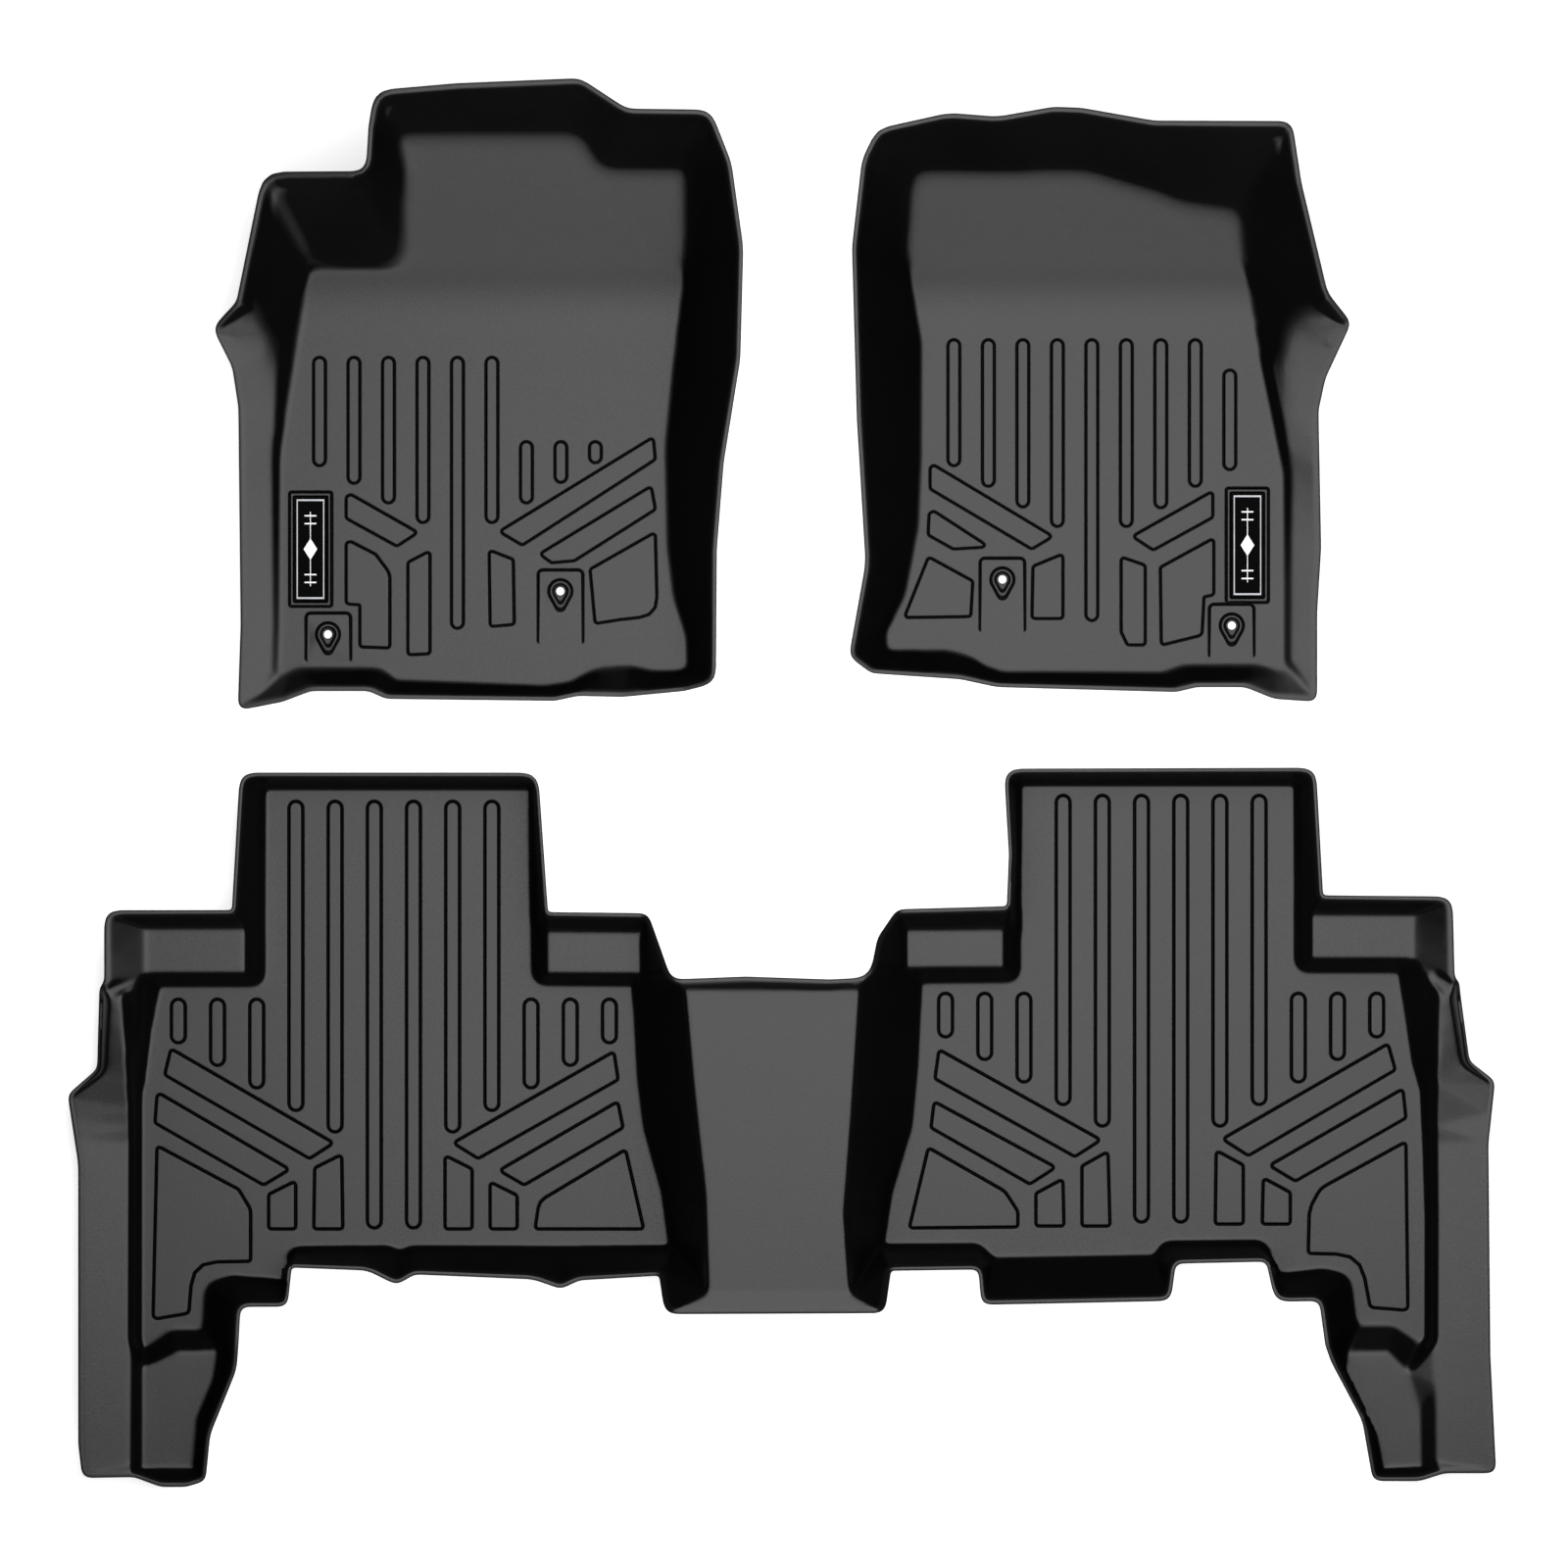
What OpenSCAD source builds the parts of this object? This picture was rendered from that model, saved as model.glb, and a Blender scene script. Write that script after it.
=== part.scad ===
// Three-piece moulded floor mat set: driver mat, passenger mat and one-piece rear mat.
// Frame: +Y towards the front of the vehicle, +X to the passenger side, +Z up. Millimetres.
// Origin: middle of the laid-out set, on the plane that the mats rest on.
//
// Each mat is one sheet. Its outline is the rim, a list of [x, y, z, corner radius], or where the lip is
// wider or slopes, [x, y, z, lip width, drop across the lip, corner radius]. Flat areas are closed outlines,
// [x, y, corner radius], at one level. Walls are ruled between the two. Beside a door the rim widens into a
// gently sloping flap, whose inner edge is the sill, a list of [x, y, z]. Every outline runs clockwise, seen
// from above, in the mat's own frame: x from its left edge (rear mat: from the middle of the vehicle),
// y forward from its rear edge.

/* [Sheet] */
// Thickness of the moulded sheet
sheet_t = 3; // [2.5:0.5:4]
// How far ribs and plates stand above the floor
rib_h = 1.5; // [1:0.5:2.5]
// Width of the flat lip round each mat
lip_w = 5; // [4:0.5:7]
// Height factor of all rims
rim_factor = 1; // [0.8:0.05:1.2]
// Steepness of the toe board, rise over run
toe_slope = 0.7; // [0.4:0.05:0.9]
// Length over which the floor bends up into the toe board
toe_bend = 90; // [60:5:120]

/* [Rear mat levels] */
// Height of the four small pads in front of the rear floors
pad_z = 35; // [25:1:45]
// Height of the bridge over the tunnel
bridge_z = 110; // [80:5:120]
// Height of the two steps at the back corners
step_z = 20; // [16:1:24]

/* [Ribs] */
// Width of a rib on the front mats
front_rib_w = 10.5; // [8:0.5:12]
// Distance between ribs on the front mats
front_pitch = 35.2; // [33:0.1:36]
// Width of a rib on the rear mat
rear_rib_w = 12.5; // [9:0.5:14]
// Distance between ribs on the rear mat
rear_pitch = 40; // [38:0.1:41]

/* [Eyelets] */
// Diameter of the hole that drops over the floor's retention post
post_bore_d = 8.4; // [7:0.1:10]
// Width of the drop-shaped flange
flange_w = 27; // [25:0.5:29]
// Outside diameter of the barrel that passes through the mat
barrel_d = 13; // [12:0.5:15]
// Height of the platform under an eyelet
tab_h = 2; // [1.5:0.5:3]

/* [Badges] */
// Width of a badge
badge_w = 28.4; // [24:0.2:30]
// Length of a badge
badge_l = 102; // [90:1:104]
// Width of the moulded frame round a badge
badge_frame = 6.5; // [5:0.5:8]

/* [Layout] */
// Left edge of the driver mat from the middle of the set
driver_x = -581; // [-620:1:-575]
// Rear edge of the driver mat from the middle of the set
driver_y = 75; // [70:1:120]
// Left edge of the passenger mat from the middle of the set
passenger_x = 67; // [60:1:100]
// Rear edge of the passenger mat from the middle of the set
passenger_y = 84; // [75:1:120]
// Rear edge of the rear mat from the middle of the set
rear_y = -716; // [-760:1:-714]

/* [Hidden] */

mat_colour = [0.2, 0.2, 0.21];
black = [0.09, 0.09, 0.1];
silver = [0.75, 0.76, 0.78];
white = [0.92, 0.92, 0.92];

floor_z = sheet_t;          // top of every floor
root_z = sheet_t / 2;       // ribs and plates start inside the sheet
tall = 400;                 // higher than any rim
corner_step = 30;           // largest turn between two points of a rounded corner, degrees
wall_step = 30;             // longest straight piece of a wall's upper or lower edge
overlap = 0.4;              // how far a flat area runs into the walls round it
sunk = 0.05;                // how far a wall starts below the floor that it rises from
wall_foot = 0.3;            // lowest underside of a wall, inside the floor that it stands on
hem_t = 2 * sheet_t;        // upright thickness at the top of the rear mat's walls

// Toe boards begin at this distance from the rear edge of each front mat
driver_toe_y = 378;
passenger_toe_y = 370;

// Distance from an eyelet's hole to the centre of its narrow end, and that end's width
drop_l = 17;
narrow_w = 9;
flange_t = 2.2;
tab_w = 44;
tab_front = 21;
tab_back = 29;
tab_z = floor_z + tab_h;
ring_d = 24;
ring_t = 1.8;
seat_gap = 0.2;             // clearance round parts that sit in a pocket

badge_seat = 1;             // depth of the pocket in the mat
badge_t = 2;
badge_edge = 1.4;           // width of the silver edge
face_t = 1.2;
face_seat = 1;
emblem_t = 0.4;

driver_at = [driver_x, driver_y, 0];
passenger_at = [passenger_x, passenger_y, 0];
rear_at = [0, rear_y, 0];
driver_eyelets = [[117, 78], [354, 122]];
passenger_eyelets = [[157, 125], [391, 78]];
driver_badge = [99, 165];
passenger_badge = [407, 160];

// ------------------------------------------------------------------ outlines

function xy(p) = [p[0], p[1]];
function xyz(p) = [p[0], p[1], p[2]];

// One corner of a path, with its last value as the radius, as points on a curve between two tangents
function corner(a, p, b) =
    let (last = len(p) - 1, u = xy(a) - xy(p), v = xy(b) - xy(p),
         inside = acos(max(-1, min(1, (u * v) / (norm(u) * norm(v))))),
         t = min(p[last] / tan(max(inside, 1) / 2), 0.48 * norm(u), 0.48 * norm(v)),
         n = ceil((180 - inside) / corner_step),
         from = p + (a - p) * t / norm(u),
         to = p + (b - p) * t / norm(v))
    t < 1 ? [p] : [for (k = [0:n]) let (f = k / n) (1 - f) ^ 2 * from + 2 * f * (1 - f) * p + f ^ 2 * to];

// An open path keeps its two ends
function rounded(path) =
    let (last = len(path) - 1)
    concat([path[0]], [for (i = [1:last - 1]) each corner(path[i - 1], path[i], path[i + 1])], [path[last]]);

// A closed path; the first point is repeated at the end
function rounded_loop(path) =
    let (n = len(path),
         loop = [for (i = [0:n - 1]) each corner(path[(i + n - 1) % n], path[i], path[(i + 1) % n])])
    concat(loop, [loop[0]]);

// Splits the edges of a path so that none is longer than step
function split(path, step) =
    concat([for (i = [0:len(path) - 2])
        let (n = ceil(norm(xy(path[i + 1]) - xy(path[i])) / step))
        each [for (k = [0:n - 1]) path[i] + (path[i + 1] - path[i]) * k / n]], [path[len(path) - 1]]);

function snapped(p) = [for (v = p) round(v * 1000) / 1000];
function is_closed(path) = norm(xy(path[0]) - xy(path[len(path) - 1])) < 0.01;

// Inner edge of the lip along a rim, given the rim's points before and after this length of it
function inset(path, before, after) =
    let (line = concat([before], path, [after]))
    [for (i = [1:len(path)])
        let (d = xy(line[i + 1]) - xy(line[i - 1]), t = d / norm(d), p = line[i])
        [p[0] + p[3] * t[1], p[1] - p[3] * t[0], p[2] - p[4]]];

// Place of a path's point that is nearest to p
function nearest(path, p) =
    let (distances = [for (q = path) norm(xy(q) - xy(p))])
    search(min(distances), distances)[0];

// Every rim point in its long form
function full_rim(path) =
    [for (p = path) let (short = len(p) == 4)
        [p[0], p[1], p[2] * rim_factor, short ? lip_w : p[3], short ? 0 : p[4] * rim_factor, p[len(p) - 1]]];

// ------------------------------------------------------------------ the sheet

// Two paths that run side by side, outer and inner, are joined by triangles, each with its next point on
// one of the two. Of all ways to do so, ruled takes the one with the shortest cross edges without a fold.
fold_cost = 10000;

// Twice the area of a triangle in plan, above zero if its corners run clockwise
function turn(a, b, c) = (b[1] - a[1]) * (c[0] - a[0]) - (b[0] - a[0]) * (c[1] - a[1]);
function cost(a, b, c, edge) = norm(xy(edge[1]) - xy(edge[0])) + (turn(a, b, c) > 0 ? 0 : fold_cost);
function outer_cost(outer, inner, i, j) =
    cost(outer[i - 1], outer[i], inner[j], [outer[i], inner[j]]);
function inner_cost(outer, inner, i, j) =
    cost(outer[i], inner[j], inner[j - 1], [outer[i], inner[j]]);

// Least cost to reach the cross edge from outer point i to each inner point, from that of point i - 1
function cost_row(outer, inner, i, before) =
    [for (j = 0, c = i == 0 ? 0 : before[0] + outer_cost(outer, inner, i, 0);
          j < len(inner);
          j = j + 1,
          c = j == len(inner) ? 0
              : min(c + inner_cost(outer, inner, i, j),
                    i == 0 ? fold_cost ^ 2 : before[j] + outer_cost(outer, inner, i, j))) c];
function cost_table(outer, inner) =
    [for (i = 0, row = cost_row(outer, inner, 0, []);
          i < len(outer);
          i = i + 1,
          row = i == len(outer) ? [] : cost_row(outer, inner, i, row)) row];

// The triangles, back from the cross edge of outer point i and inner point j; inner points count on from n
function triangles(outer, inner, costs, i, j) =
    i == 0 && j == 0 ? []
    : let (n = len(outer),
           by_outer = j == 0 || (i > 0 && costs[i - 1][j] + outer_cost(outer, inner, i, j)
                                       <= costs[i][j - 1] + inner_cost(outer, inner, i, j)))
      by_outer ? concat(triangles(outer, inner, costs, i - 1, j), [[i - 1, i, n + j]])
      : concat(triangles(outer, inner, costs, i, j - 1), [[i, n + j, n + j - 1]]);
function ruled(outer, inner) =
    triangles(outer, inner, cost_table(outer, inner), len(outer) - 1, len(inner) - 1);

// The same point on the underside, one sheet thickness away
function below(p, thickness = sheet_t) = [p[0], p[1], max(wall_foot, p[2] - thickness)];

// At a wall's top the thickness is measured square to the wall
function below_top(p, feet) =
    let (run = min([for (q = feet) norm(xy(p) - xy(q))]),
         rise = min([for (q = feet) if (norm(xy(p) - xy(q)) < run + 0.01) abs(p[2] - q[2])]))
    below(p, sheet_t * min(4, sqrt(1 + (rise / run) ^ 2)));

module wall(upper, lower) {
    outer = split(upper, wall_step);
    inner = split(lower, wall_step);
    n = len(outer);
    m = len(inner);
    total = n + m;
    closed = is_closed(outer) && is_closed(inner);
    top = concat([for (p = outer) xyz(p)], [for (p = inner) xyz(p)]);
    under = concat([for (p = outer) below_top(p, inner)], [for (p = inner) below(p)]);
    // A closed wall ends on its own first points
    function id(k) = !closed ? k : k == n - 1 ? 0 : k == total - 1 ? n : k;
    function face(f) = [for (k = f) k < total ? id(k) : total + id(k - total)];
    ruling = ruled(outer, inner);
    faces = concat(
        ruling,
        [for (f = ruling) [f[0] + total, f[2] + total, f[1] + total]],
        [for (i = [0:n - 2]) [i + 1, i, i + total, i + 1 + total]],
        [for (j = [n:total - 2]) [j, j + 1, j + 1 + total, j + total]],
        closed ? [] : [[0, n, n + total, total], [total - 1, n - 1, n - 1 + total, 2 * total - 1]]);
    polyhedron(points = [for (p = concat(top, under)) snapped(p)], faces = [for (f = faces) face(f)]);
}

// Height of a front floor that bends up into a toe board from y0 on
function toe(y, y0) =
    floor_z + (y < y0 ? 0
        : y < y0 + toe_bend ? toe_slope * (y - y0) ^ 2 / (2 * toe_bend)
        : toe_slope * (y - y0 - toe_bend / 2));

// Front mats: one closed rim that starts with the door sill flap, and one floor with its toe board
module front_sheet(rim, sill, foot, y0) {
    edge = rounded_loop(full_rim(rim));
    hem = inset(edge, edge[len(edge) - 2], edge[1]);
    flap_start = nearest(hem, sill[0]);
    flap_end = nearest(hem, sill[len(sill) - 1]);
    base = split(rounded_loop(foot), wall_step);
    wall(edge, hem);
    wall([for (i = [flap_start:flap_end]) hem[i]], sill);
    upper = concat(
        [for (i = [flap_end:len(hem) - 1]) hem[i]], [for (i = [1:1:flap_start]) hem[i]],
        sill, [hem[flap_end]]);
    wall(upper, [for (p = base) [p[0], p[1], toe(p[1], y0) - sunk]]);
    reach = max([for (p = base) p[1]]) + 5;
    bent = [for (k = [0:12]) y0 + toe_bend * k / 12];
    slant = sheet_t * sqrt(1 + toe_slope ^ 2);
    intersection() {
        linear_extrude(tall) offset(delta = overlap) polygon([for (p = rounded_loop(foot)) xy(p)]);
        rotate([90, 0, 90]) linear_extrude(600) polygon(concat(
            [[0, 0], [0, floor_z]],
            [for (y = bent) [y, toe(y, y0)]],
            [[reach, toe(reach, y0)], [reach, toe(reach, y0) - slant]],
            [for (k = [len(bent) - 1:-1:0]) let (y = bent[k])
                [y, toe(y, y0) - sheet_t - (slant - sheet_t) * (y - y0) / toe_bend]]));
    }
}

// ------------------------------------------------------------------ moulded details

module raised(h) {
    translate([0, 0, root_z]) linear_extrude(floor_z - root_z + h) children();
}

// Straight rib with round ends, from y0 forward to y1
module rib(x, y0, y1, w) {
    raised(rib_h) union() {
        translate([x - w / 2, y0 + w / 2]) square([w, y1 - y0 - w]);
        translate([x, y0 + w / 2]) circle(d = w, $fn = 24);
        translate([x, y1 - w / 2]) circle(d = w, $fn = 24);
    }
}

module plate(path, r = 2) {
    loop = rounded_loop([for (q = path) [q[0], q[1], len(q) > 2 ? q[2] : r]]);
    raised(rib_h) polygon([for (p = loop) xy(p)]);
}

module box(w, l, h) {
    translate([-w / 2, -l / 2, 0]) cube([w, l, h]);
}

// Platform under an eyelet; at the back it runs out into the floor
module tab(at) {
    translate([at[0] - tab_w / 2, at[1], 0]) rotate([90, 0, 90]) linear_extrude(tab_w) polygon([
        [tab_front, root_z], [tab_front, tab_z], [-drop_l, tab_z], [-tab_back, floor_z],
        [-tab_back, root_z]]);
}

module eyelet_cut(at) {
    translate([at[0], at[1], -1]) {
        cylinder(h = tab_z + 2, d = barrel_d + 2 * seat_gap, $fn = 48);
        cylinder(h = 1 + ring_t + seat_gap, d = ring_d + 2 * seat_gap, $fn = 48);
    }
}

module badge_surround(at) {
    translate([at[0], at[1], root_z])
        box(badge_w + 2 * badge_frame, badge_l + 2 * badge_frame, floor_z - root_z + rib_h);
}

module badge_cut(at) {
    translate([at[0], at[1], floor_z - badge_seat]) {
        box(badge_w + 2 * seat_gap, badge_l + 2 * seat_gap, 10);
        translate([0, 0, badge_seat]) box(badge_w + badge_frame, badge_l + badge_frame, 10);
    }
}

// ------------------------------------------------------------------ driver mat

driver_rim = [
    [25, 0, 13, 9], [28, 87, 15, 40], [26, 309, 26, 20], [20, 350, 36, 20], [0, 390, 48, 14],
    [25, 416, 70, 14], [43, 500, 102, 40],
    [53, 547, 114, 26], [158, 547, 138, 14], [161, 592, 152, 20], [167, 628, 166, 24], [251, 635, 172, 40],
    [376, 640, 178, 24], [423, 609, 182, 24], [508, 608, 182, 20], [529, 555, 168, 40], [541, 470, 142, 60],
    [538, 357, 112, 60], [521, 252, 88, 60], [514, 164, 72, 60], [513, 28, 50, 18], [481, 20, 38, 12],
    [418, 14, 27, 20], [372, 15, 25, 12], [349, 10, 25, 12], [176, 12, 25, 12], [159, 20, 25, 12],
    [100, 20, 22, 14], [71, 9, 18, 16]];

driver_sill = [
    [46, 18, 11], [60, 40, 9], [63, 87, 9], [63, 250, 12], [64, 309, 16], [63, 350, 24], [53, 385, 38],
    [45, 410, 58]];

driver_foot = [
    [90, 404, 30], [98, 452, 6], [195, 452, 20], [195, 551, 20], [187, 587, 8], [381, 587, 14],
    [396, 556, 14], [487, 556, 8], [488, 484, 40], [471, 351, 40], [463, 270, 40], [465, 168, 40],
    [471, 118, 30], [485, 74, 20], [486, 40, 10], [455, 39, 20], [421, 46, 14], [395, 44, 14],
    [365, 28, 14], [338, 24, 20], [188, 30, 10], [172, 43, 12], [88, 44, 10], [66, 34, 8],
    [66, 256, 30], [73, 298, 30], [83, 358, 30]];

// Lengths of the nine ribs behind their common front line, from left to right
driver_ribs = [109, 127, 147, 167, 275, 167, 61, 40, 20];

module driver_details() {
    front = 360;
    short_front = 274;
    for (i = [0:8]) {
        line = i < 6 ? front : short_front;
        rib(108 + front_pitch * i, line - driver_ribs[i], line, front_rib_w);
    }
    plate([[136, 218], [140, 220], [207, 182], [187, 169], [136, 197]]);
    plate([
        [136, 171], [140, 172], [165, 159], [179, 140, 14], [179, 65], [150, 66], [150, 109], [136, 110]]);
    plate([[199, 151], [220, 162], [220, 59], [199, 58]]);
    plate([[282, 163], [305, 154], [306, 89], [283, 87]]);
    plate([[293, 183], [448, 278], [450, 257], [315, 170]]);
    plate([[334, 160], [446, 228], [450, 206], [368, 154], [345, 152]]);
    plate([[385, 144], [450, 181], [452, 98, 34], [415, 94, 6], [390, 90]]);
    for (at = driver_eyelets) tab(at);
    badge_surround(driver_badge);
}

module driver_mat() {
    color(mat_colour) translate(driver_at) difference() {
        union() {
            resize([0, 0, 0]) front_sheet(driver_rim, driver_sill, driver_foot, driver_toe_y);
            driver_details();
        }
        for (at = driver_eyelets) eyelet_cut(at);
        badge_cut(driver_badge);
    }
}

// ------------------------------------------------------------------ passenger mat

passenger_rim = [
    [487, 416, 84, 20], [512, 386, 56, 12], [486, 330, 36, 30], [479, 297, 28, 24], [482, 157, 17, 60],
    [478, 92, 15, 40], [478, 0, 13, 9], [434, 3, 17, 20], [404, 15, 22, 14], [355, 15, 25, 10],
    [334, 10, 25, 10], [151, 15, 25, 30], [114, 23, 28, 30], [23, 29, 44, 12], [0, 46, 54, 14],
    [17, 141, 72, 50], [8, 288, 96, 60], [3, 461, 136, 60], [13, 549, 158, 30], [28, 580, 168, 24],
    [101, 596, 174, 40], [150, 592, 176, 40], [207, 602, 178, 24], [235, 601, 178, 30], [309, 588, 176, 30],
    [449, 588, 164, 14], [459, 526, 142, 30]];

passenger_sill = [
    [463, 396, 56], [452, 384, 44], [434, 335, 26], [442, 290, 20], [449, 237, 12], [449, 117, 9],
    [449, 42, 9], [464, 24, 11]];

passenger_foot = [
    [446, 30, 8], [417, 38, 10], [340, 37, 14], [318, 29, 14], [157, 29, 14], [140, 35, 12],
    [123, 46, 12], [103, 52, 14], [38, 51, 8], [37, 72, 12], [56, 108, 30], [70, 179, 30],
    [73, 250, 40], [73, 365, 40], [63, 422, 30], [54, 460, 30], [58, 512, 20], [66, 545, 10],
    [243, 545, 30], [310, 525, 20], [340, 512, 20], [400, 502, 10], [405, 445, 30], [420, 359, 40],
    [446, 229, 40]];

passenger_ribs = [127, 148, 169, 189, 285, 189, 170, 148, 100];

module passenger_details() {
    front = 369;
    for (i = [0:8]) {
        line = i < 8 ? front : front - 31;
        rib(107.5 + front_pitch * i, line - passenger_ribs[i], line, front_rib_w);
    }
    plate([[84, 239], [87, 241], [207, 169], [187, 157], [84, 218]]);
    plate([[83, 192], [87, 194], [141, 159], [107, 157], [82, 171]]);
    plate([[82, 147], [126, 123], [124, 88], [58, 87]]);
    plate([[189, 138], [218, 150], [218, 86], [188, 86]]);
    plate([[279, 147], [302, 139], [302, 59], [285, 59], [279, 72]]);
    plate([[291, 169], [371, 214], [371, 189], [311, 156]]);
    plate([[319, 137], [372, 166], [372, 110], [362, 108], [360, 69, 4], [320, 59]]);
    for (at = passenger_eyelets) tab(at);
    badge_surround(passenger_badge);
}

module passenger_mat() {
    color(mat_colour) translate(passenger_at) difference() {
        union() {
            resize([0, 0, 0])
                front_sheet(passenger_rim, passenger_sill, passenger_foot, passenger_toe_y);
            passenger_details();
        }
        for (at = passenger_eyelets) eyelet_cut(at);
        badge_cut(passenger_badge);
    }
}

// ------------------------------------------------------------------ rear mat

// The rim in twelve lengths. Each one ends where the next one begins, on a straight stretch or in an inner
// corner.
left_flap = [
    [-690, 9.5, 34, 0], [-714, 9, 34, 10], [-718, 44, 34, 20], [-718, 130, 34, 60], [-718, 329, 34, 60],
    [-729, 400, 32, 10], [-699, 426, 26, 9, -12, 10],
    [-697, 497, 28, 11, -22, 0]];
left_shoulder = [
    [-697, 497, 28, 11, -22, 0], [-696, 508, 50, 6], [-691, 516, 52, 8], [-691, 588, 54, 16],
    [-561, 588, 54, 0]];
left_column = [[-561, 588, 54, 0], [-553, 728, 50, 16], [-249, 728, 50, 18], [-239, 586, 54, 0]];
front_middle = [
    [-239, 586, 54, 0], [-137, 585, 58, 12], [-113, 518, 114, 14], [-38, 521, 116, 30], [48, 518, 116, 40],
    [88, 520, 114, 20], [96, 560, 90, 16], [116, 589, 60, 12], [228, 592, 54, 0]];
right_column = [
    [228, 592, 54, 0], [230, 645, 51, 30], [225, 732, 50, 16], [543, 733, 50, 16], [550, 603, 54, 0]];
right_shoulder = [
    [550, 603, 54, 0], [682, 602, 54, 16], [684, 520, 52, 8], [689, 514, 50, 6], [691, 500, 28, 11, -22, 0]];
right_flap = [
    [691, 500, 28, 11, -22, 0], [700, 434, 26, 9, -12, 10], [726, 414, 32, 10], [719, 350, 34, 40],
    [721, 134, 34, 60], [727, 14, 34, 9], [690, 14, 34, 0]];
// Inner edge of each door sill flap, beside the step and beside the floor, where it rises to a ridge
left_step_sill = [[-664, 24, 31], [-663, 150, 30]];
left_sill = [[-663, 150, 30], [-662, 350, 28], [-663, 385, 34], [-667, 440, 44], [-672, 503, 50]];
right_sill = [[667, 504, 50], [666, 440, 44], [664, 385, 34], [664, 350, 28], [663, 150, 30]];
right_step_sill = [[663, 150, 30], [667, 80, 31], [667, 26, 31]];
// Small facets in the wall beside the ridges: two front corners and a rear tip
left_facet = [[-667, 508, 46], [-650, 513, 36], [-655, 408, 10]];
right_facet = [[646, 530, 36], [662, 524, 46], [652, 408, 10]];
right_step = [
    [690, 14, 34, 0], [674, 14, 34, 20], [649, 6, 36, 20], [601, 6, 36, 10], [590, 68, 44, 30],
    [558, 128, 54, 30], [552, 145, 56, 0]];
right_back = [
    [552, 145, 56, 0], [546, 190, 56, 8], [501, 189, 55, 16], [492, 230, 55, 6], [400, 228, 55, 7],
    [395, 190, 55, 12], [202, 186, 55, 10], [199, 222, 55, 6], [110, 221, 66, 0]];
bridge_back = [[110, 221, 66, 0], [104, 179, 114, 12], [-120, 178, 114, 14], [-126, 216, 66, 0]];
left_back = [
    [-126, 216, 66, 0], [-207, 211, 55, 12], [-226, 202, 55, 12], [-254, 212, 55, 30], [-375, 217, 55, 12],
    [-393, 206, 55, 12], [-423, 221, 55, 20], [-500, 224, 55, 0], [-504, 184, 55, 10], [-552, 184, 56, 8],
    [-554, 145, 56, 0]];
left_step = [
    [-554, 145, 56, 0], [-556, 120, 52, 30], [-583, 54, 44, 30], [-588, 6, 36, 10], [-608, 0, 36, 10],
    [-634, 0, 36, 14], [-661, 10, 34, 14], [-690, 9.5, 34, 0]];

left_floor = [
    [-530, 560, 0], [-530, 714, 6], [-256, 714, 6], [-253, 515, 12], [-151, 514, 4], [-146, 417, 40],
    [-140, 367, 40], [-121, 300, 40], [-113, 243, 6], [-378, 243, 6], [-390, 238, 8], [-402, 243, 6],
    [-500, 241, 12], [-506, 208, 10], [-563, 213, 20], [-587, 206, 16], [-589, 160, 8], [-623, 160, 14],
    [-658, 135, 8], [-658, 395, 30], [-648, 458, 40], [-636, 513, 4], [-530, 513, 12]];
right_floor = [
    [240, 560, 0], [240, 718, 6], [524, 718, 6], [524, 527, 12], [629, 527, 4], [643, 436, 20],
    [653, 405, 30], [659, 270, 60], [659, 140, 8], [622, 165, 14], [583, 165, 8], [577, 215, 16], [552, 220, 20],
    [505, 214, 12], [489, 248, 12], [389, 247, 8], [382, 235, 6], [212, 232, 6], [199, 245, 8],
    [100, 244, 6], [109, 300, 40], [130, 367, 40], [136, 430, 40], [140, 516, 4], [240, 517, 12]];
bridge = [[-101, 507], [-93, 417], [-81, 300], [-78, 200], [70, 200], [64, 280], [70, 367], [79, 507]];
left_step_flat = [
    [-573, 138], [-578, 107], [-594, 70], [-599, 18], [-654, 18], [-654, 122], [-640, 127], [-618, 138]];
right_step_flat = [
    [617, 137], [637, 117], [648, 80], [650, 19], [611, 17], [604, 50], [572, 117], [572, 136]];

// Pads by their left, right, rear and front edges
left_outer_pad = [-649, -546, 521, 570];
left_inner_pad = [-243, -142, 520, 567];
right_inner_pad = [124, 227, 527, 569];
right_outer_pad = [537, 642, 536, 584];

function pad_outline(pad) =
    [[pad[0], pad[2]], [pad[0], pad[3]], [pad[1], pad[3]], [pad[1], pad[2]]];

// The rim's lengths in order, and the place of each in that order
rear_rim = [left_flap, left_shoulder, left_column, front_middle, right_column, right_shoulder,
            right_flap, right_step, right_back, bridge_back, left_back, left_step];
at_left_flap = 0;
at_left_shoulder = 1;
at_left_column = 2;
at_front_middle = 3;
at_right_column = 4;
at_right_shoulder = 5;
at_right_flap = 6;
at_right_step = 7;
at_right_back = 8;
at_bridge_back = 9;
at_left_back = 10;
at_left_step = 11;

function edge(i) = rounded(full_rim(rear_rim[(i + len(rear_rim)) % len(rear_rim)]));
function hem(i) =
    let (before = edge(i - 1))
    inset(edge(i), before[len(before) - 2], edge(i + 1)[1]);

// Paths of the rear sheet's skin are made of points [x, y, z, thickness], close enough for straight walls
function skin_path(path, z, thickness) =
    split([for (p = path) [p[0], p[1], is_undef(z) ? p[2] : z, thickness]], wall_step);
function corners(path, z, order) = skin_path([for (i = order) path[i]], z, sheet_t);
function at_level(p, z) = [p[0], p[1], z, sheet_t];
function sill(path) = [for (p = path) concat(p, hem_t)];
function tail(path) = [for (i = [1:len(path) - 1]) path[i]];
function closed(path) = concat(path, [path[0]]);
function unclosed(path) = [for (i = [0:len(path) - 2]) path[i]];

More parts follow.
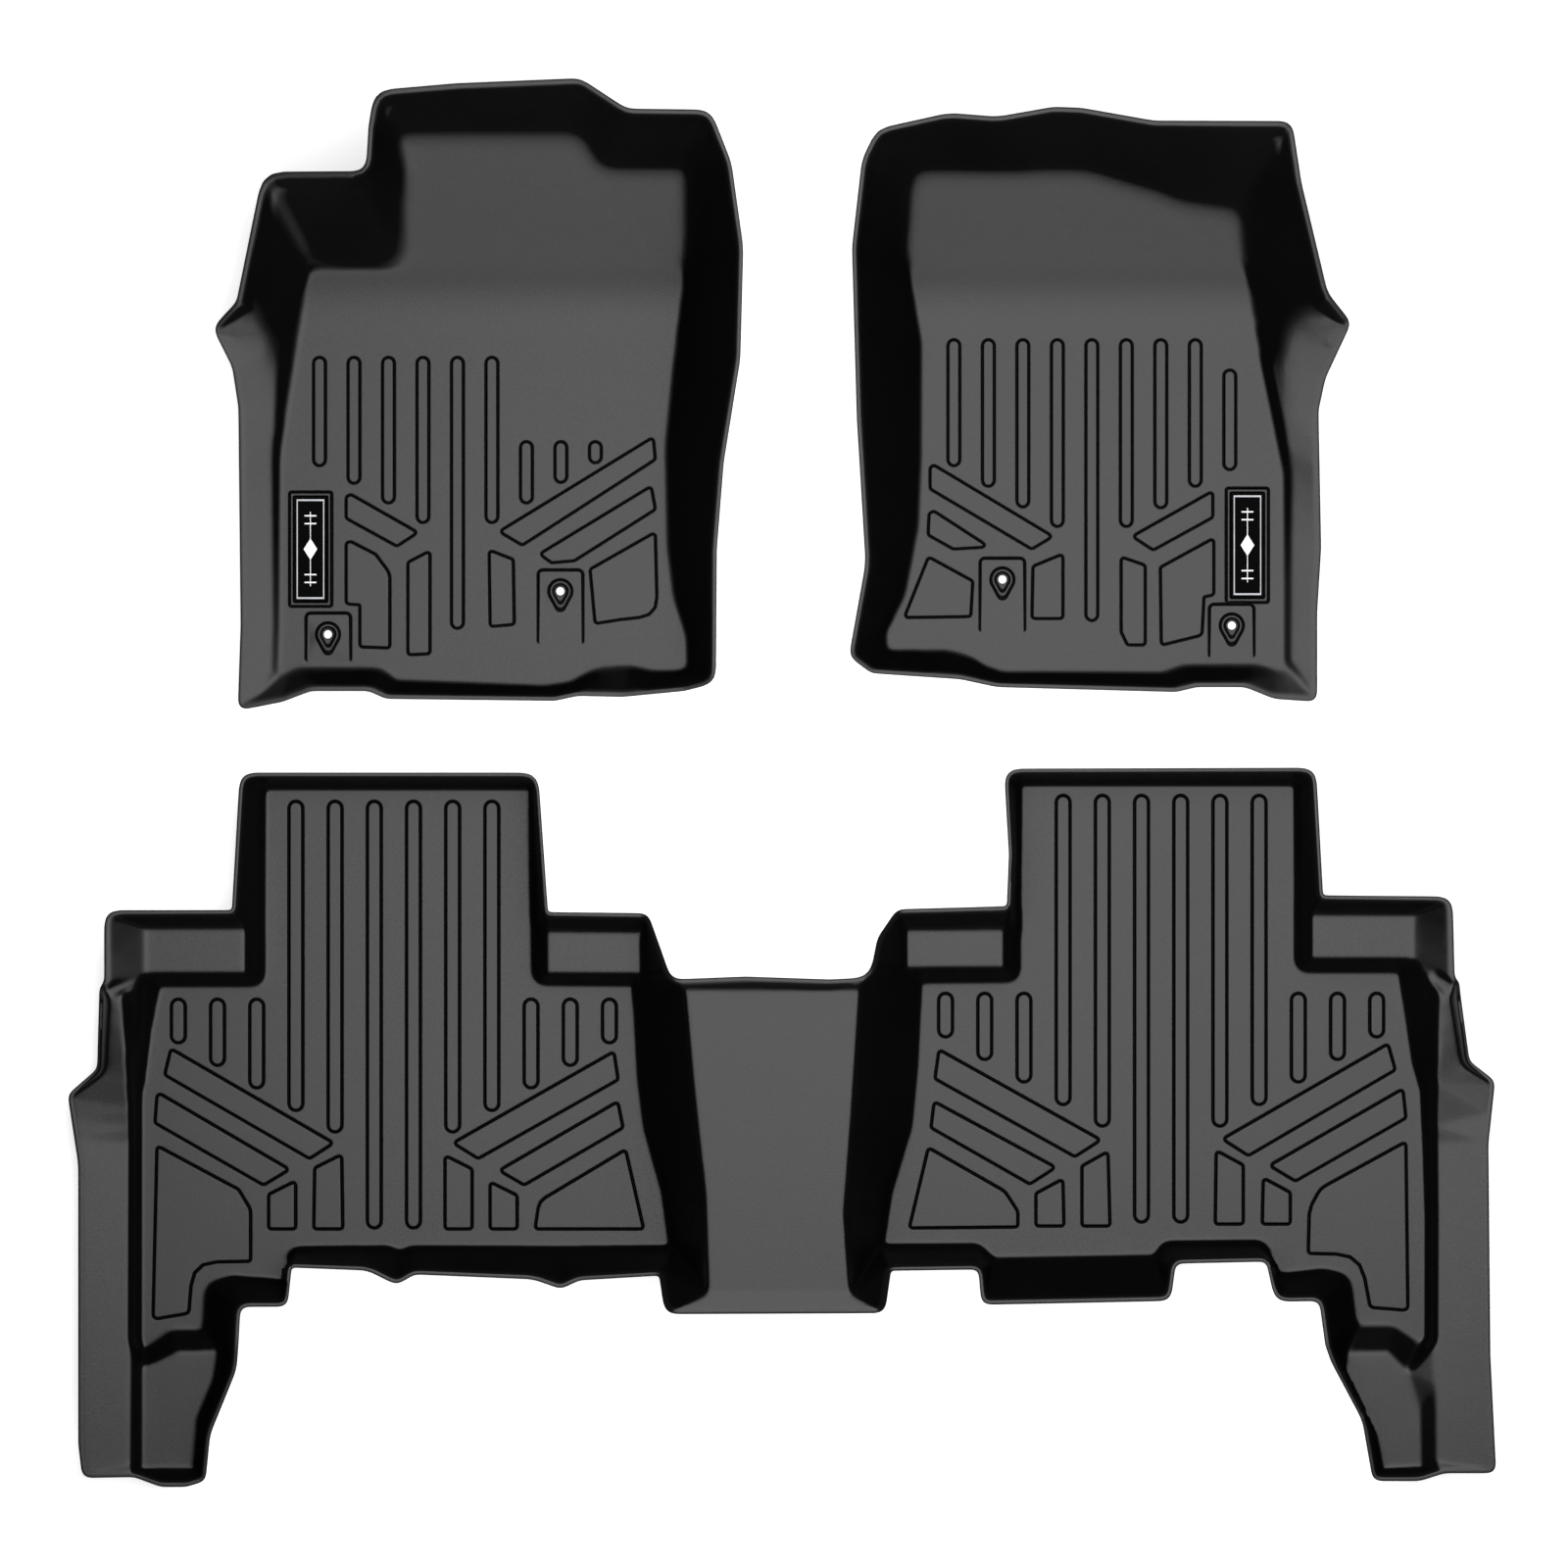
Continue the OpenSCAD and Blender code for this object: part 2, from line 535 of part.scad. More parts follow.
// A patch of skin is [points, faces]: a strip between two paths side by side, or the flat area in a loop
function strip(outer, inner) = [concat(outer, inner), ruled(outer, inner)];
function area(loop) = [loop, [[for (i = [0:len(loop) - 1]) i]]];

// One closed solid from patches that meet edge to edge, with its underside straight below
module skin(patches, outline) {
    tops = [for (patch = patches) each patch[0]];
    starts = [for (i = 0, n = 0; i < len(patches); n = n + len(patches[i][0]), i = i + 1) n];
    faces = [for (i = [0:len(patches) - 1], f = patches[i][1]) [for (k = f) k + starts[i]]];
    points = concat(tops, outline);
    n = len(points);
    polyhedron(
        points = concat(
            [for (p = points) snapped(xyz(p))],
            [for (p = points) snapped([p[0], p[1], max(0, p[2] - p[3])])]),
        faces = concat(
            faces,
            [for (f = faces) [for (k = [len(f) - 1:-1:0]) f[k] + n]],
            [for (i = [len(tops):n - 2]) [i + 1, i, i + n, i + 1 + n]]));
}

module rear_sheet() {
    lengths = [0:len(rear_rim) - 1];
    rims = [for (i = lengths) skin_path(edge(i), undef, sheet_t)];
    hems = [for (i = lengths) skin_path(hem(i), undef, hem_t)];
    floors = [for (path = [left_floor, right_floor]) skin_path(rounded_loop(path), floor_z, sheet_t)];
    pads = [for (pad = [left_outer_pad, left_inner_pad, right_inner_pad, right_outer_pad]) pad_outline(pad)];
    // Inner edges of the flaps, beside the floors and beside the steps
    left_inner = split(concat(sill(left_sill), [at_level(pads[0][0], pad_z)]), wall_step);
    right_inner = split(concat([at_level(pads[3][3], pad_z)], sill(right_sill)), wall_step);
    left_low_inner = split(sill(left_step_sill), wall_step);
    right_low_inner = split(sill(right_step_sill), wall_step);
    // The upper edge of each floor's walls, all the way round
    left_upper = concat(
        hems[at_left_column], corners(pads[1], pad_z, [1, 0, 3]), corners(bridge, bridge_z, [0:3]),
        hems[at_left_back], corners(left_step_flat, step_z, [0, 7, 6, 5]),
        left_inner, tail(corners(pads[0], pad_z, [0, 3, 2])));
    right_upper = concat(
        hems[at_right_column], corners(pads[3], pad_z, [1, 0, 3]),
        tail(right_inner), corners(right_step_flat, step_z, [1, 0, 7]),
        hems[at_right_back], corners(bridge, bridge_z, [4:7]), corners(pads[2], pad_z, [0, 3, 2]));
    bridge_front = concat(
        corners(pads[1], pad_z, [1:3]), corners(bridge, bridge_z, [0, 7]), corners(pads[2], pad_z, [0:2]));
    skin(
        concat(
            [for (i = lengths) strip(rims[i], hems[i])],
            [strip(closed(left_upper), floors[0]),
             strip(closed(right_upper), floors[1]),
             strip(hems[at_left_flap], concat(left_low_inner, tail(left_inner))),
             strip(hems[at_right_flap], concat(right_inner, tail(right_low_inner))),
             strip(left_low_inner, corners(left_step_flat, step_z, [4:5])),
             strip(right_low_inner, corners(right_step_flat, step_z, [1:3])),
             strip(hems[at_left_shoulder], corners(pads[0], pad_z, [0:2])),
             strip(hems[at_right_shoulder], corners(pads[3], pad_z, [1:3])),
             strip(hems[at_front_middle], bridge_front),
             strip(hems[at_bridge_back], corners(bridge, bridge_z, [4, 3])),
             strip(hems[at_left_step],
                   concat(corners(left_step_flat, step_z, [0:4]), [left_low_inner[0]])),
             strip(hems[at_right_step],
                   concat([right_low_inner[len(right_low_inner) - 1]],
                          corners(right_step_flat, step_z, [3:7])))],
            [for (loop = floors) area(unclosed(loop))],
            [for (pad = pads) area(unclosed(corners(pad, pad_z, [0, 1, 2, 3, 0])))],
            [for (flat = [left_step_flat, right_step_flat])
                area(unclosed(corners(flat, step_z, [0, 1, 2, 3, 4, 5, 6, 7, 0])))],
            [area(unclosed(corners(bridge, bridge_z, [0, 7, 6, 5, 4, 3, 2, 1, 0])))]),
        [for (rim = rims) each rim]);
}

// Solid facet from the sheet's underside up to three points
module facet(top) {
    polyhedron(
        points = concat(top, [for (p = top) [p[0], p[1], wall_foot]]),
        faces = [[0, 1, 2], [5, 4, 3], [0, 3, 4, 1], [1, 4, 5, 2], [2, 5, 3, 0]]);
}

// One floor's ribs: the rear ends follow a chevron that points at the two long ribs
module rear_ribs(x, front) {
    short = front - 202;
    long_back = [314, 336, 434, 434, 336, 314];
    short_back = [43, 66, 89];
    for (i = [0:5]) rib(x + rear_pitch * (i - 2.5), front - long_back[i], front, rear_rib_w);
    for (i = [0:2], side = [-1, 1])
        rib(x + side * rear_pitch * (5.5 - i), short - short_back[i], short, rear_rib_w);
}

module rear_details() {
    rear_ribs(-397, 698);
    rear_ribs(386, 704);
    // Left floor, left side
    plate([[-624, 445], [-460, 350], [-483, 335], [-630, 420]]);
    plate([[-638, 398], [-635, 399], [-505, 323], [-530, 308], [-640, 371]]);
    plate([
        [-638, 346], [-556, 302], [-544, 282, 12], [-544, 230], [-603, 229, 40], [-607, 177, 4],
        [-642, 171, 4]]);
    plate([[-524, 297], [-498, 310], [-498, 263], [-524, 263]]);
    plate([[-477, 324], [-451, 337], [-450, 263], [-478, 263]]);
    // Left floor, right side
    plate([[-344, 336], [-318, 323], [-318, 263], [-344, 263]]);
    plate([[-298, 309], [-272, 296], [-272, 263], [-298, 263]]);
    plate([[-335, 350], [-173, 442], [-169, 415], [-311, 335]]);
    plate([[-288, 322], [-169, 391], [-164, 366], [-264, 308]]);
    plate([[-161, 342], [-143, 263], [-252, 263], [-248, 290, 14]]);
    // Right floor, left side
    plate([[160, 444], [323, 353], [298, 337], [156, 416]]);
    plate([[155, 391], [277, 325], [252, 309], [152, 366]]);
    plate([[149, 344], [226, 300, 10], [239, 280, 8], [239, 265], [130, 264]]);
    plate([[259, 298], [285, 312], [286, 266], [259, 266]]);
    plate([[306, 326], [331, 340], [333, 266], [306, 266]]);
    // Right floor, right side
    plate([[443, 341], [469, 327], [469, 268], [442, 268]]);
    plate([[491, 313], [517, 299], [517, 268], [490, 268]]);
    plate([[450, 354], [617, 450], [624, 425], [475, 338]]);
    plate([[498, 327], [632, 404], [635, 376], [523, 312]]);
    plate([
        [635, 350], [549, 303, 20], [538, 282, 20], [537, 238], [590, 237, 40], [600, 183, 4],
        [637, 180, 4]]);
}

module rear_mat() {
    color(mat_colour) translate(rear_at) resize([0, 0, 0]) {
        rear_sheet();
        facet(left_facet);
        facet(right_facet);
        rear_details();
    }
}

// ------------------------------------------------------------------ eyelets

// Drop outline: round end at the hole, narrow end towards the back
module drop(grow) {
    hull() {
        circle(d = flange_w + 2 * grow, $fn = 48);
        translate([0, -drop_l]) circle(d = narrow_w + 2 * grow, $fn = 24);
    }
}

module eyelet(mat_at, at) {
    dish_edge = 5;
    dish = 0.8;
    color(black) translate(mat_at + [at[0], at[1], 0]) difference() {
        union() {
            translate([0, 0, tab_z]) linear_extrude(flange_t) drop(0);
            cylinder(h = tab_z + 1, d = barrel_d, $fn = 48);
        }
        translate([0, 0, tab_z + flange_t - dish]) linear_extrude(dish + 1) drop(-dish_edge);
        translate([0, 0, -1]) cylinder(h = tab_z + flange_t + 2, d = post_bore_d, $fn = 48);
    }
}

module eyelet_ring(mat_at, at) {
    color(black) translate(mat_at + [at[0], at[1], 0]) difference() {
        cylinder(h = ring_t, d = ring_d, $fn = 48);
        translate([0, 0, -1]) cylinder(h = ring_t + 2, d = barrel_d + 0.1, $fn = 48);
    }
}

// ------------------------------------------------------------------ badges

module badge_base(mat_at, at) {
    color(silver) translate(mat_at + [at[0], at[1], floor_z - badge_seat]) difference() {
        box(badge_w, badge_l, badge_t);
        translate([0, 0, badge_t - face_seat])
            box(badge_w - 2 * badge_edge, badge_l - 3 * badge_edge, face_seat + 1);
    }
}

module badge_face(mat_at, at) {
    color(black) translate(mat_at + [at[0], at[1], floor_z - badge_seat + badge_t - face_seat])
        box(badge_w - 2 * badge_edge - seat_gap, badge_l - 3 * badge_edge - seat_gap, face_t);
}

// Neutral pattern: a diamond between two pairs of bars, joined by a thin line
module badge_emblem(mat_at, at) {
    z = floor_z - badge_seat + badge_t - face_seat + face_t;
    color(white) translate(mat_at + [at[0], at[1], z]) linear_extrude(emblem_t) {
        polygon([[-7, 0], [0, 11], [7, 0], [0, -11]]);
        square([0.8, 76], center = true);
        for (y = [-34, -26, 26, 34]) translate([0, y]) square([12, 1.4], center = true);
    }
}

// ------------------------------------------------------------------ nodes

driver_mat();
passenger_mat();
rear_mat();
eyelet(driver_at, driver_eyelets[0]);  // driver_left_eyelet
eyelet_ring(driver_at, driver_eyelets[0]);  // driver_left_eyelet_ring
eyelet(driver_at, driver_eyelets[1]);  // driver_right_eyelet
eyelet_ring(driver_at, driver_eyelets[1]);  // driver_right_eyelet_ring
eyelet(passenger_at, passenger_eyelets[0]);  // passenger_left_eyelet
eyelet_ring(passenger_at, passenger_eyelets[0]);  // passenger_left_eyelet_ring
eyelet(passenger_at, passenger_eyelets[1]);  // passenger_right_eyelet
eyelet_ring(passenger_at, passenger_eyelets[1]);  // passenger_right_eyelet_ring
badge_base(driver_at, driver_badge);  // driver_badge_base
badge_face(driver_at, driver_badge);  // driver_badge_face
badge_emblem(driver_at, driver_badge);  // driver_badge_emblem
badge_base(passenger_at, passenger_badge);  // passenger_badge_base
badge_face(passenger_at, passenger_badge);  // passenger_badge_face
badge_emblem(passenger_at, passenger_badge);  // passenger_badge_emblem
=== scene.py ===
"""Looks of a moulded floor mat set: driver mat, passenger mat and one-piece rear mat.

Every mat is rebuilt from its own CAD node: the node's heights are read onto a grid, softened the way a
moulding softens, and meshed again with rounded lips, ribs, plates and grooves. Lengths are in millimetres
until a mesh is made; the scene is in metres.
"""
import math

import bmesh
import bpy
import numpy as np
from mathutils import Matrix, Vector
from mathutils.geometry import delaunay_2d_cdt
from mathutils.kdtree import KDTree


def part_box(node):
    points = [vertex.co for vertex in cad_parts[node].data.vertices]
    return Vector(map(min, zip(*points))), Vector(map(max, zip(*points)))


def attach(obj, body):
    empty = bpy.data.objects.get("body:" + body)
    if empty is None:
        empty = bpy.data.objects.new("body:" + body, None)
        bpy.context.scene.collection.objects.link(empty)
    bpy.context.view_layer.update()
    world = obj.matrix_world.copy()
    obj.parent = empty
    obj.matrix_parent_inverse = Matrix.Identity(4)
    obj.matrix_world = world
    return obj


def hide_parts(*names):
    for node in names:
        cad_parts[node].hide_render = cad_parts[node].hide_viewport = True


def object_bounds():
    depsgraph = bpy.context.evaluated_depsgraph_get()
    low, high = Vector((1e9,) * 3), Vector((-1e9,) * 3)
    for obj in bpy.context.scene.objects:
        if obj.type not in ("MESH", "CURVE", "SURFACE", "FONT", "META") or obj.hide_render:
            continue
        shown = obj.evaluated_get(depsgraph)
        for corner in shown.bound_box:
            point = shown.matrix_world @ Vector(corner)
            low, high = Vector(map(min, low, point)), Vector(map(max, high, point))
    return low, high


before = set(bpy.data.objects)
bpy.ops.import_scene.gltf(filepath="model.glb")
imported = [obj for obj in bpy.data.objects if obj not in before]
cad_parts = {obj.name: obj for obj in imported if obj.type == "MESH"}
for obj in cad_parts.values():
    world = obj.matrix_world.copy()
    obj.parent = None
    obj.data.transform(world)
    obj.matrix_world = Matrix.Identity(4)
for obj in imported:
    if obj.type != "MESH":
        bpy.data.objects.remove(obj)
cad_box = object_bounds()

MM = 0.001
CELL = 1.0              # grid the CAD heights are read onto
MARGIN = 12             # cells of grid round a mat
SHEET = 3.0             # thickness of a mat's sheet
LIP = 5.0               # width of the lip round a mat

MATS = {
    "driver": {"node": "driver_mat", "eyelets": ["driver_left_eyelet", "driver_right_eyelet"]},
    "passenger": {"node": "passenger_mat", "eyelets": ["passenger_left_eyelet", "passenger_right_eyelet"]},
    "rear": {"node": "rear_mat", "eyelets": []},
}

# Which of a CAD mat's triangles are its top, its level areas, and its ribs and plates
TOP_SIDE = 0.02         # least height of a unit normal on the top side
LEVEL = 0.99999         # least height of a unit normal on a level area
LOWEST_RIB = 0.7        # ribs and plates stand between these heights above the floor
HIGHEST_RIB = 4.0
EYELET_AREA = 45.0      # half the side of the square that holds an eyelet's platform

# Rounded section of the lip: distance in from the edge, height above or below the lip's flat
LIP_EDGE = [(0.0, -1.5), (0.25, -0.75), (0.75, -0.22), (1.5, 0.0), (3.4, 0.0), (4.4, -0.2)]
LIP_ROWS = [0.25, 0.75, 1.5, 3.4, 4.4, 5.6, 8.0]
UNDERSIDE_ROWS = [0.25, 0.75, 1.5, 4.4]
ROW_GAP = 1.2           # between such rows of points and the looser ones of the sheet

EYELET_HOLE = 4.2
EYELET_BARREL = 6.5

# Section across the edge of a raised rib or plate; distance is negative inside its outline
STEP_UP = ([-1.3, -0.7, -0.2, 0.35], [1.0, 0.9, 0.55, 0.0])
GROOVE = ([-0.3, 0.25, 0.8, 1.5, 2.1, 2.7], [0.0, 0.75, 1.0, 0.95, 0.4, 0.0])
GROOVE_DEPTH = 1.1
RAISED_ROWS = [-2.2, -1.3, -0.7, -0.2, 0.3, 0.8, 1.5, 2.1, 2.7, 3.5]

# The same across the edge of the pocket under a badge; distance is negative outside the pocket
STEP_DOWN = ([-1.3, -0.7, -0.2, 0.35, 0.8], [1.0, 0.94, 0.7, 0.16, 0.0])
POCKET_ROWS = [-2.2, -1.3, -0.7, -0.2, 0.3, 0.8]
POCKET_DEPTH = 1.0
# Painted shade across the edge of the pocket under a badge
POCKET_SHADE = ([-0.3, 0.4], [0.0, 1.0])

TAB_SIDE = 22.0         # half the width of the platform under an eyelet
TAB_FRONT = 21.0        # how far it reaches ahead of the hole
TAB_BACK = 29.0         # where it has run out into the floor, behind the hole
TAB_FADE = 12.0
TAB_HEIGHT = 2.0
TAB_GROOVE_BACK = 55.0  # where the grooves along its sides end, behind the hole
TAB_GROOVE_FADE = 5.0
POST_HOLE = 6.7         # radius of the mat's hole for an eyelet's barrel
RING_POCKET = 12.2      # radius of the pocket below, for the ring that backs the eyelet
POCKET_ROOF = 2.0

# Mesh of a sheet: spacing of its points where it bends, and how many steps apart they are elsewhere
STEP = 2.0
SLOPE_STEPS = 3
FLAT_STEPS = 12
BEND = 0.012            # least change of slope, per grid cell, that counts as a bend
SLOPE = 0.02
UNDERSIDE_STEP = 6.0

# Blur that rounds the bends: next to the lip, on the walls, and where a toe board meets its walls
CRISP = 1.3
SOFT = 2.8
BROAD = 8.0

# Where one shape takes over from another: start and length of the change, mostly inwards from the edge
LIP_TO_SHEET = (LIP - 1.2, 1.6)
CRISP_TO_SOFT = (8.0, 10.0)
TOE_BROAD = (9.0, 12.0)
TOE_RISE = (12.0, 15.0)     # the same, upwards from the floor
# band along the lip that the rubber colours a little paler
PALE_LIP = (LIP, 1.5)
UNDERSIDE_BEND = (LIP, 10.0)
SLOPE_REACH = 2.0       # how far to each side a slope is measured
STEEPEST = 3.0          # most that a wall's thickness grows when it is measured upright


# ---------------------------------------------------------------- reading the CAD

def read_cad(node):
    """A CAD node's welded points in millimetres, its triangles, and their unit normals."""
    bm = bmesh.new()
    bm.from_mesh(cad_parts[node].data)
    bmesh.ops.remove_doubles(bm, verts=bm.verts, dist=0.005 * MM)
    bmesh.ops.triangulate(bm, faces=bm.faces)
    bm.verts.index_update()
    points = np.array([v.co for v in bm.verts]) / MM
    triangles = np.array([[v.index for v in f.verts] for f in bm.faces])
    bm.free()
    a, b, c = (points[triangles[:, k]] for k in range(3))
    normals = np.cross(b - a, c - a)
    size = np.linalg.norm(normals, axis=1)
    solid = size > 1e-6
    return points, triangles[solid], normals[solid] / size[solid, None], size[solid] / 2


def boundary_loops(triangles):
    """The closed chains of edges that only one of the triangles uses."""
    edges = {}
    for a, b, c in triangles:
        for p, q in ((a, b), (b, c), (c, a)):
            edges[(p, q)] = True
    after = {}
    for p, q in edges:
        if (q, p) not in edges:
            after.setdefault(p, []).append(q)
    loops = []
    while after:
        start = next(iter(after))
        loop, at = [start], start
        while True:
            nexts = after.get(at)
            if not nexts:
                break
            to = nexts.pop()
            if not nexts:
                del after[at]
            if to == start:
                break
            loop.append(to)
            at = to
        if len(loop) > 2:
            loops.append(loop)
    return loops


def area_of(loop):
    x, y = loop[:, 0], loop[:, 1]
    return 0.5 * float(np.sum(x * np.roll(y, -1) - np.roll(x, -1) * y))


class Heights:
    """Heights on a square grid in plan, read with linear interpolation."""

    def __init__(self, low, high):
        self.low = np.floor(np.array(low[:2]) / CELL) * CELL - MARGIN * CELL
        size = np.ceil((np.array(high[:2]) - self.low) / CELL).astype(int) + MARGIN
        self.shape = (int(size[0]), int(size[1]))
        self.z = np.full(self.shape, np.nan)

    def draw(self, triangle):
        """Raises the grid to a triangle of three points."""
        uv = (triangle[:, :2] - self.low) / CELL
        lo = np.maximum(np.floor(uv.min(0)).astype(int), 0)
        hi = np.minimum(np.ceil(uv.max(0)).astype(int) + 1, self.shape)
        gx, gy = np.meshgrid(np.arange(lo[0], hi[0]), np.arange(lo[1], hi[1]), indexing="ij")
        (ax, ay), (bx, by), (cx, cy) = uv
        whole = (bx - ax) * (cy - ay) - (cx - ax) * (by - ay)
        if abs(whole) < 1e-9:
            return
        wb = ((gx - ax) * (cy - ay) - (cx - ax) * (gy - ay)) / whole
        wc = ((bx - ax) * (gy - ay) - (gx - ax) * (by - ay)) / whole
        hit = (wb >= -1e-6) & (wc >= -1e-6) & (wb + wc <= 1 + 1e-6)
        z = triangle[0, 2] * (1 - wb - wc) + triangle[1, 2] * wb + triangle[2, 2] * wc
        part = self.z[lo[0]:hi[0], lo[1]:hi[1]]
        part[hit] = np.fmax(part[hit], z[hit])

    def fill_inside(self, loop, z):
        """Gives the grid points inside a plan outline that have no height this one."""
        a = (loop - self.low) / CELL
        b = np.roll(a, -1, axis=0)
        for row in range(self.shape[1]):
            across = (a[:, 1] <= row) != (b[:, 1] <= row)
            if not across.any():
                continue
            p, q = a[across], b[across]
            xs = np.sort(p[:, 0] + (row - p[:, 1]) / (q[:, 1] - p[:, 1]) * (q[:, 0] - p[:, 0]))
            for x0, x1 in zip(xs[::2], xs[1::2]):
                line = self.z[max(0, math.ceil(x0)):math.floor(x1) + 1, row]
                line[np.isnan(line)] = z

    def blurred(self, sigma):
        """The same grid after a Gaussian blur that leaves the empty cells out."""
        known = ~np.isnan(self.z)
        return gauss(np.where(known, self.z, 0), sigma) / np.maximum(gauss(known.astype(float), sigma), 1e-4)


def gauss(grid, sigma):
    reach = int(math.ceil(3 * sigma / CELL))
    taps = np.exp(-0.5 * (np.arange(-reach, reach + 1) * CELL / sigma) ** 2)
    taps /= taps.sum()
    for axis in (0, 1):
        total = np.zeros_like(grid)
        for k, weight in zip(range(-reach, reach + 1), taps):
            total += weight * np.roll(grid, k, axis=axis)
        grid = total
    return grid


def read_grid(grid, low, xy):
    """Linear interpolation of a grid at plan points."""
    uv = (xy - low) / CELL
    i = np.clip(np.floor(uv).astype(int), 0, np.array(grid.shape) - 2)
    f = np.clip(uv - i, 0, 1)
    g00, g10 = grid[i[:, 0], i[:, 1]], grid[i[:, 0] + 1, i[:, 1]]
    g01, g11 = grid[i[:, 0], i[:, 1] + 1], grid[i[:, 0] + 1, i[:, 1] + 1]
    near = g00 * (1 - f[:, 0]) + g10 * f[:, 0]
    far = g01 * (1 - f[:, 0]) + g11 * f[:, 0]
    return near * (1 - f[:, 1]) + far * f[:, 1]


# ---------------------------------------------------------------- plan outlines

def resampled(loop, step):
    closed = np.vstack([loop, loop[:1]])
    along = np.concatenate([[0], np.cumsum(np.linalg.norm(np.diff(closed[:, :2], axis=0), axis=1))])
    count = max(8, int(round(along[-1] / step)))
    at = np.arange(count) * along[-1] / count
    return np.column_stack([np.interp(at, along, closed[:, k]) for k in range(closed.shape[1])])


def smoothed(loop, sigma, step):
    """A closed outline with its corners rounded by a blur along its length."""
    points = resampled(loop, step)
    reach = int(math.ceil(3 * sigma / step))
    taps = np.exp(-0.5 * (np.arange(-reach, reach + 1) * step / sigma) ** 2)
    taps /= taps.sum()
    total = np.zeros_like(points)
    for k, weight in zip(range(-reach, reach + 1), taps):
        total += weight * np.roll(points, k, axis=0)
    return total


def thinned(loop, tolerance, longest):
    """A closed outline without the points that its straight stretches don't need."""
    count = len(loop)
    keep = {0, count // 2}
    stack = [(0, count // 2), (count // 2, count)]
    while stack:
        i, j = stack.pop()
        if j - i < 2:
            continue
        a, b = loop[i], loop[j % count]
        between = loop[i + 1:j]
        chord = b - a
        length = max(np.linalg.norm(chord[:2]), 1e-9)
        off = np.abs((between[:, 0] - a[0]) * chord[1] - (between[:, 1] - a[1]) * chord[0]) / length
        k = int(np.argmax(off))
        if off[k] > tolerance:
            k = i + 1 + k
        elif length > longest:
            k = (i + j) // 2
        else:
            continue
        keep.add(k)
        stack += [(i, k), (k, j)]
    return loop[sorted(keep)]


def outward(loop):
    """Unit plan normals at the points of a counter-clockwise outline."""
    along = np.roll(loop, -1, axis=0)[:, :2] - np.roll(loop, 1, axis=0)[:, :2]
    along /= np.maximum(np.linalg.norm(along, axis=1), 1e-9)[:, None]
    return np.column_stack([along[:, 1], -along[:, 0]])


class Outlines:
    """Closed plan outlines that give the distance to the nearest one, negative inside it."""

    def __init__(self, loops):
        self.loops = loops
        starts, ends, owners, samples = [], [], [], []
        for k, loop in enumerate(loops):
            for a, b in zip(loop[:, :2], np.roll(loop, -1, axis=0)[:, :2]):
                starts.append(a)
                ends.append(b)
                owners.append(k)
                count = max(1, int(math.ceil(np.linalg.norm(b - a) / 1.0)))
                samples += [(a + (b - a) * n / count, len(starts) - 1) for n in range(count + 1)]
        self.starts, self.ends, self.owners = np.array(starts), np.array(ends), np.array(owners)
        self.segment = [s for _, s in samples]
        self.tree = KDTree(len(samples))
        for n, (p, _) in enumerate(samples):
            self.tree.insert((p[0], p[1], 0), n)
        self.tree.balance()

    def measure(self, xy):
        """Signed distance, owning outline, and nearest segment with the place along it, for each point."""
        seg = np.array([self.segment[self.tree.find((x, y, 0))[1]] for x, y in xy])
        best = np.full(len(xy), np.inf)
        signed, chosen, place = np.zeros(len(xy)), seg.copy(), np.zeros(len(xy))
        count = len(self.starts)
        for shift in (0, -1, 1):
            s = np.clip(seg + shift, 0, count - 1)
            a, b = self.starts[s], self.ends[s]
            d = b - a
            t = np.clip(np.sum((xy - a) * d, axis=1) / np.maximum(np.sum(d * d, axis=1), 1e-12), 0, 1)
            gap = np.linalg.norm(xy - a - d * t[:, None], axis=1)
            side = np.sign(d[:, 1] * (xy[:, 0] - a[:, 0]) - d[:, 0] * (xy[:, 1] - a[:, 1]))
            better = (gap < best - 1e-9) & (self.owners[s] == self.owners[seg])
            best = np.where(better, gap, best)
            signed = np.where(better, gap * np.where(side == 0, 1, side), signed)
            chosen = np.where(better, s, chosen)
            place = np.where(better, t, place)
        return signed, self.owners[chosen], chosen, place

    def row(self, k, s):
        """Points at signed distance s from outline k, without those that another stretch is nearer to."""
        loop = self.loops[k]
        points = loop[:, :2] + outward(loop) * s
        gap = np.abs(self.measure(points)[0])
        return points[gap > abs(s) - 0.06]


def inside(loop, xy):
    """Which plan points lie inside an outline."""
    result = np.zeros(len(xy), bool)
    for a, b in zip(loop[:, :2], np.roll(loop, -1, axis=0)[:, :2]):
        if a[1] == b[1]:
            continue
        crosses = (a[1] > xy[:, 1]) != (b[1] > xy[:, 1])
        result ^= crosses & (xy[:, 0] < (b[0] - a[0]) * (xy[:, 1] - a[1]) / (b[1] - a[1]) + a[0])
    return result


def round_rect(x0, y0, x1, y1, r, count=5):
    corners = [(x1 - r, y0 + r, -90), (x1 - r, y1 - r, 0), (x0 + r, y1 - r, 90), (x0 + r, y0 + r, 180)]
    return np.array([(cx + r * math.cos(math.radians(a0 + 90 * k / count)),
                      cy + r * math.sin(math.radians(a0 + 90 * k / count)))
                     for cx, cy, a0 in corners for k in range(count + 1)])


def circle(center, r, count):
    a = np.arange(count) * 2 * math.pi / count
    return np.column_stack([center[0] + r * np.cos(a), center[1] + r * np.sin(a)])


# ---------------------------------------------------------------- one mat

def smooth_step(t):
    t = np.clip(t, 0, 1)
    return t * t * (3 - 2 * t)


def ramp(x, start, length):
    return smooth_step((x - start) / length)


def eyelet_hole(node):
    """Centre of an eyelet's hole and its flange's radius: the round end of the drop is at the front."""
    low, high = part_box(node)
    r = (high.x - low.x) / 2 / MM
    return np.array([(low.x + high.x) / 2 / MM, high.y / MM - r]), r


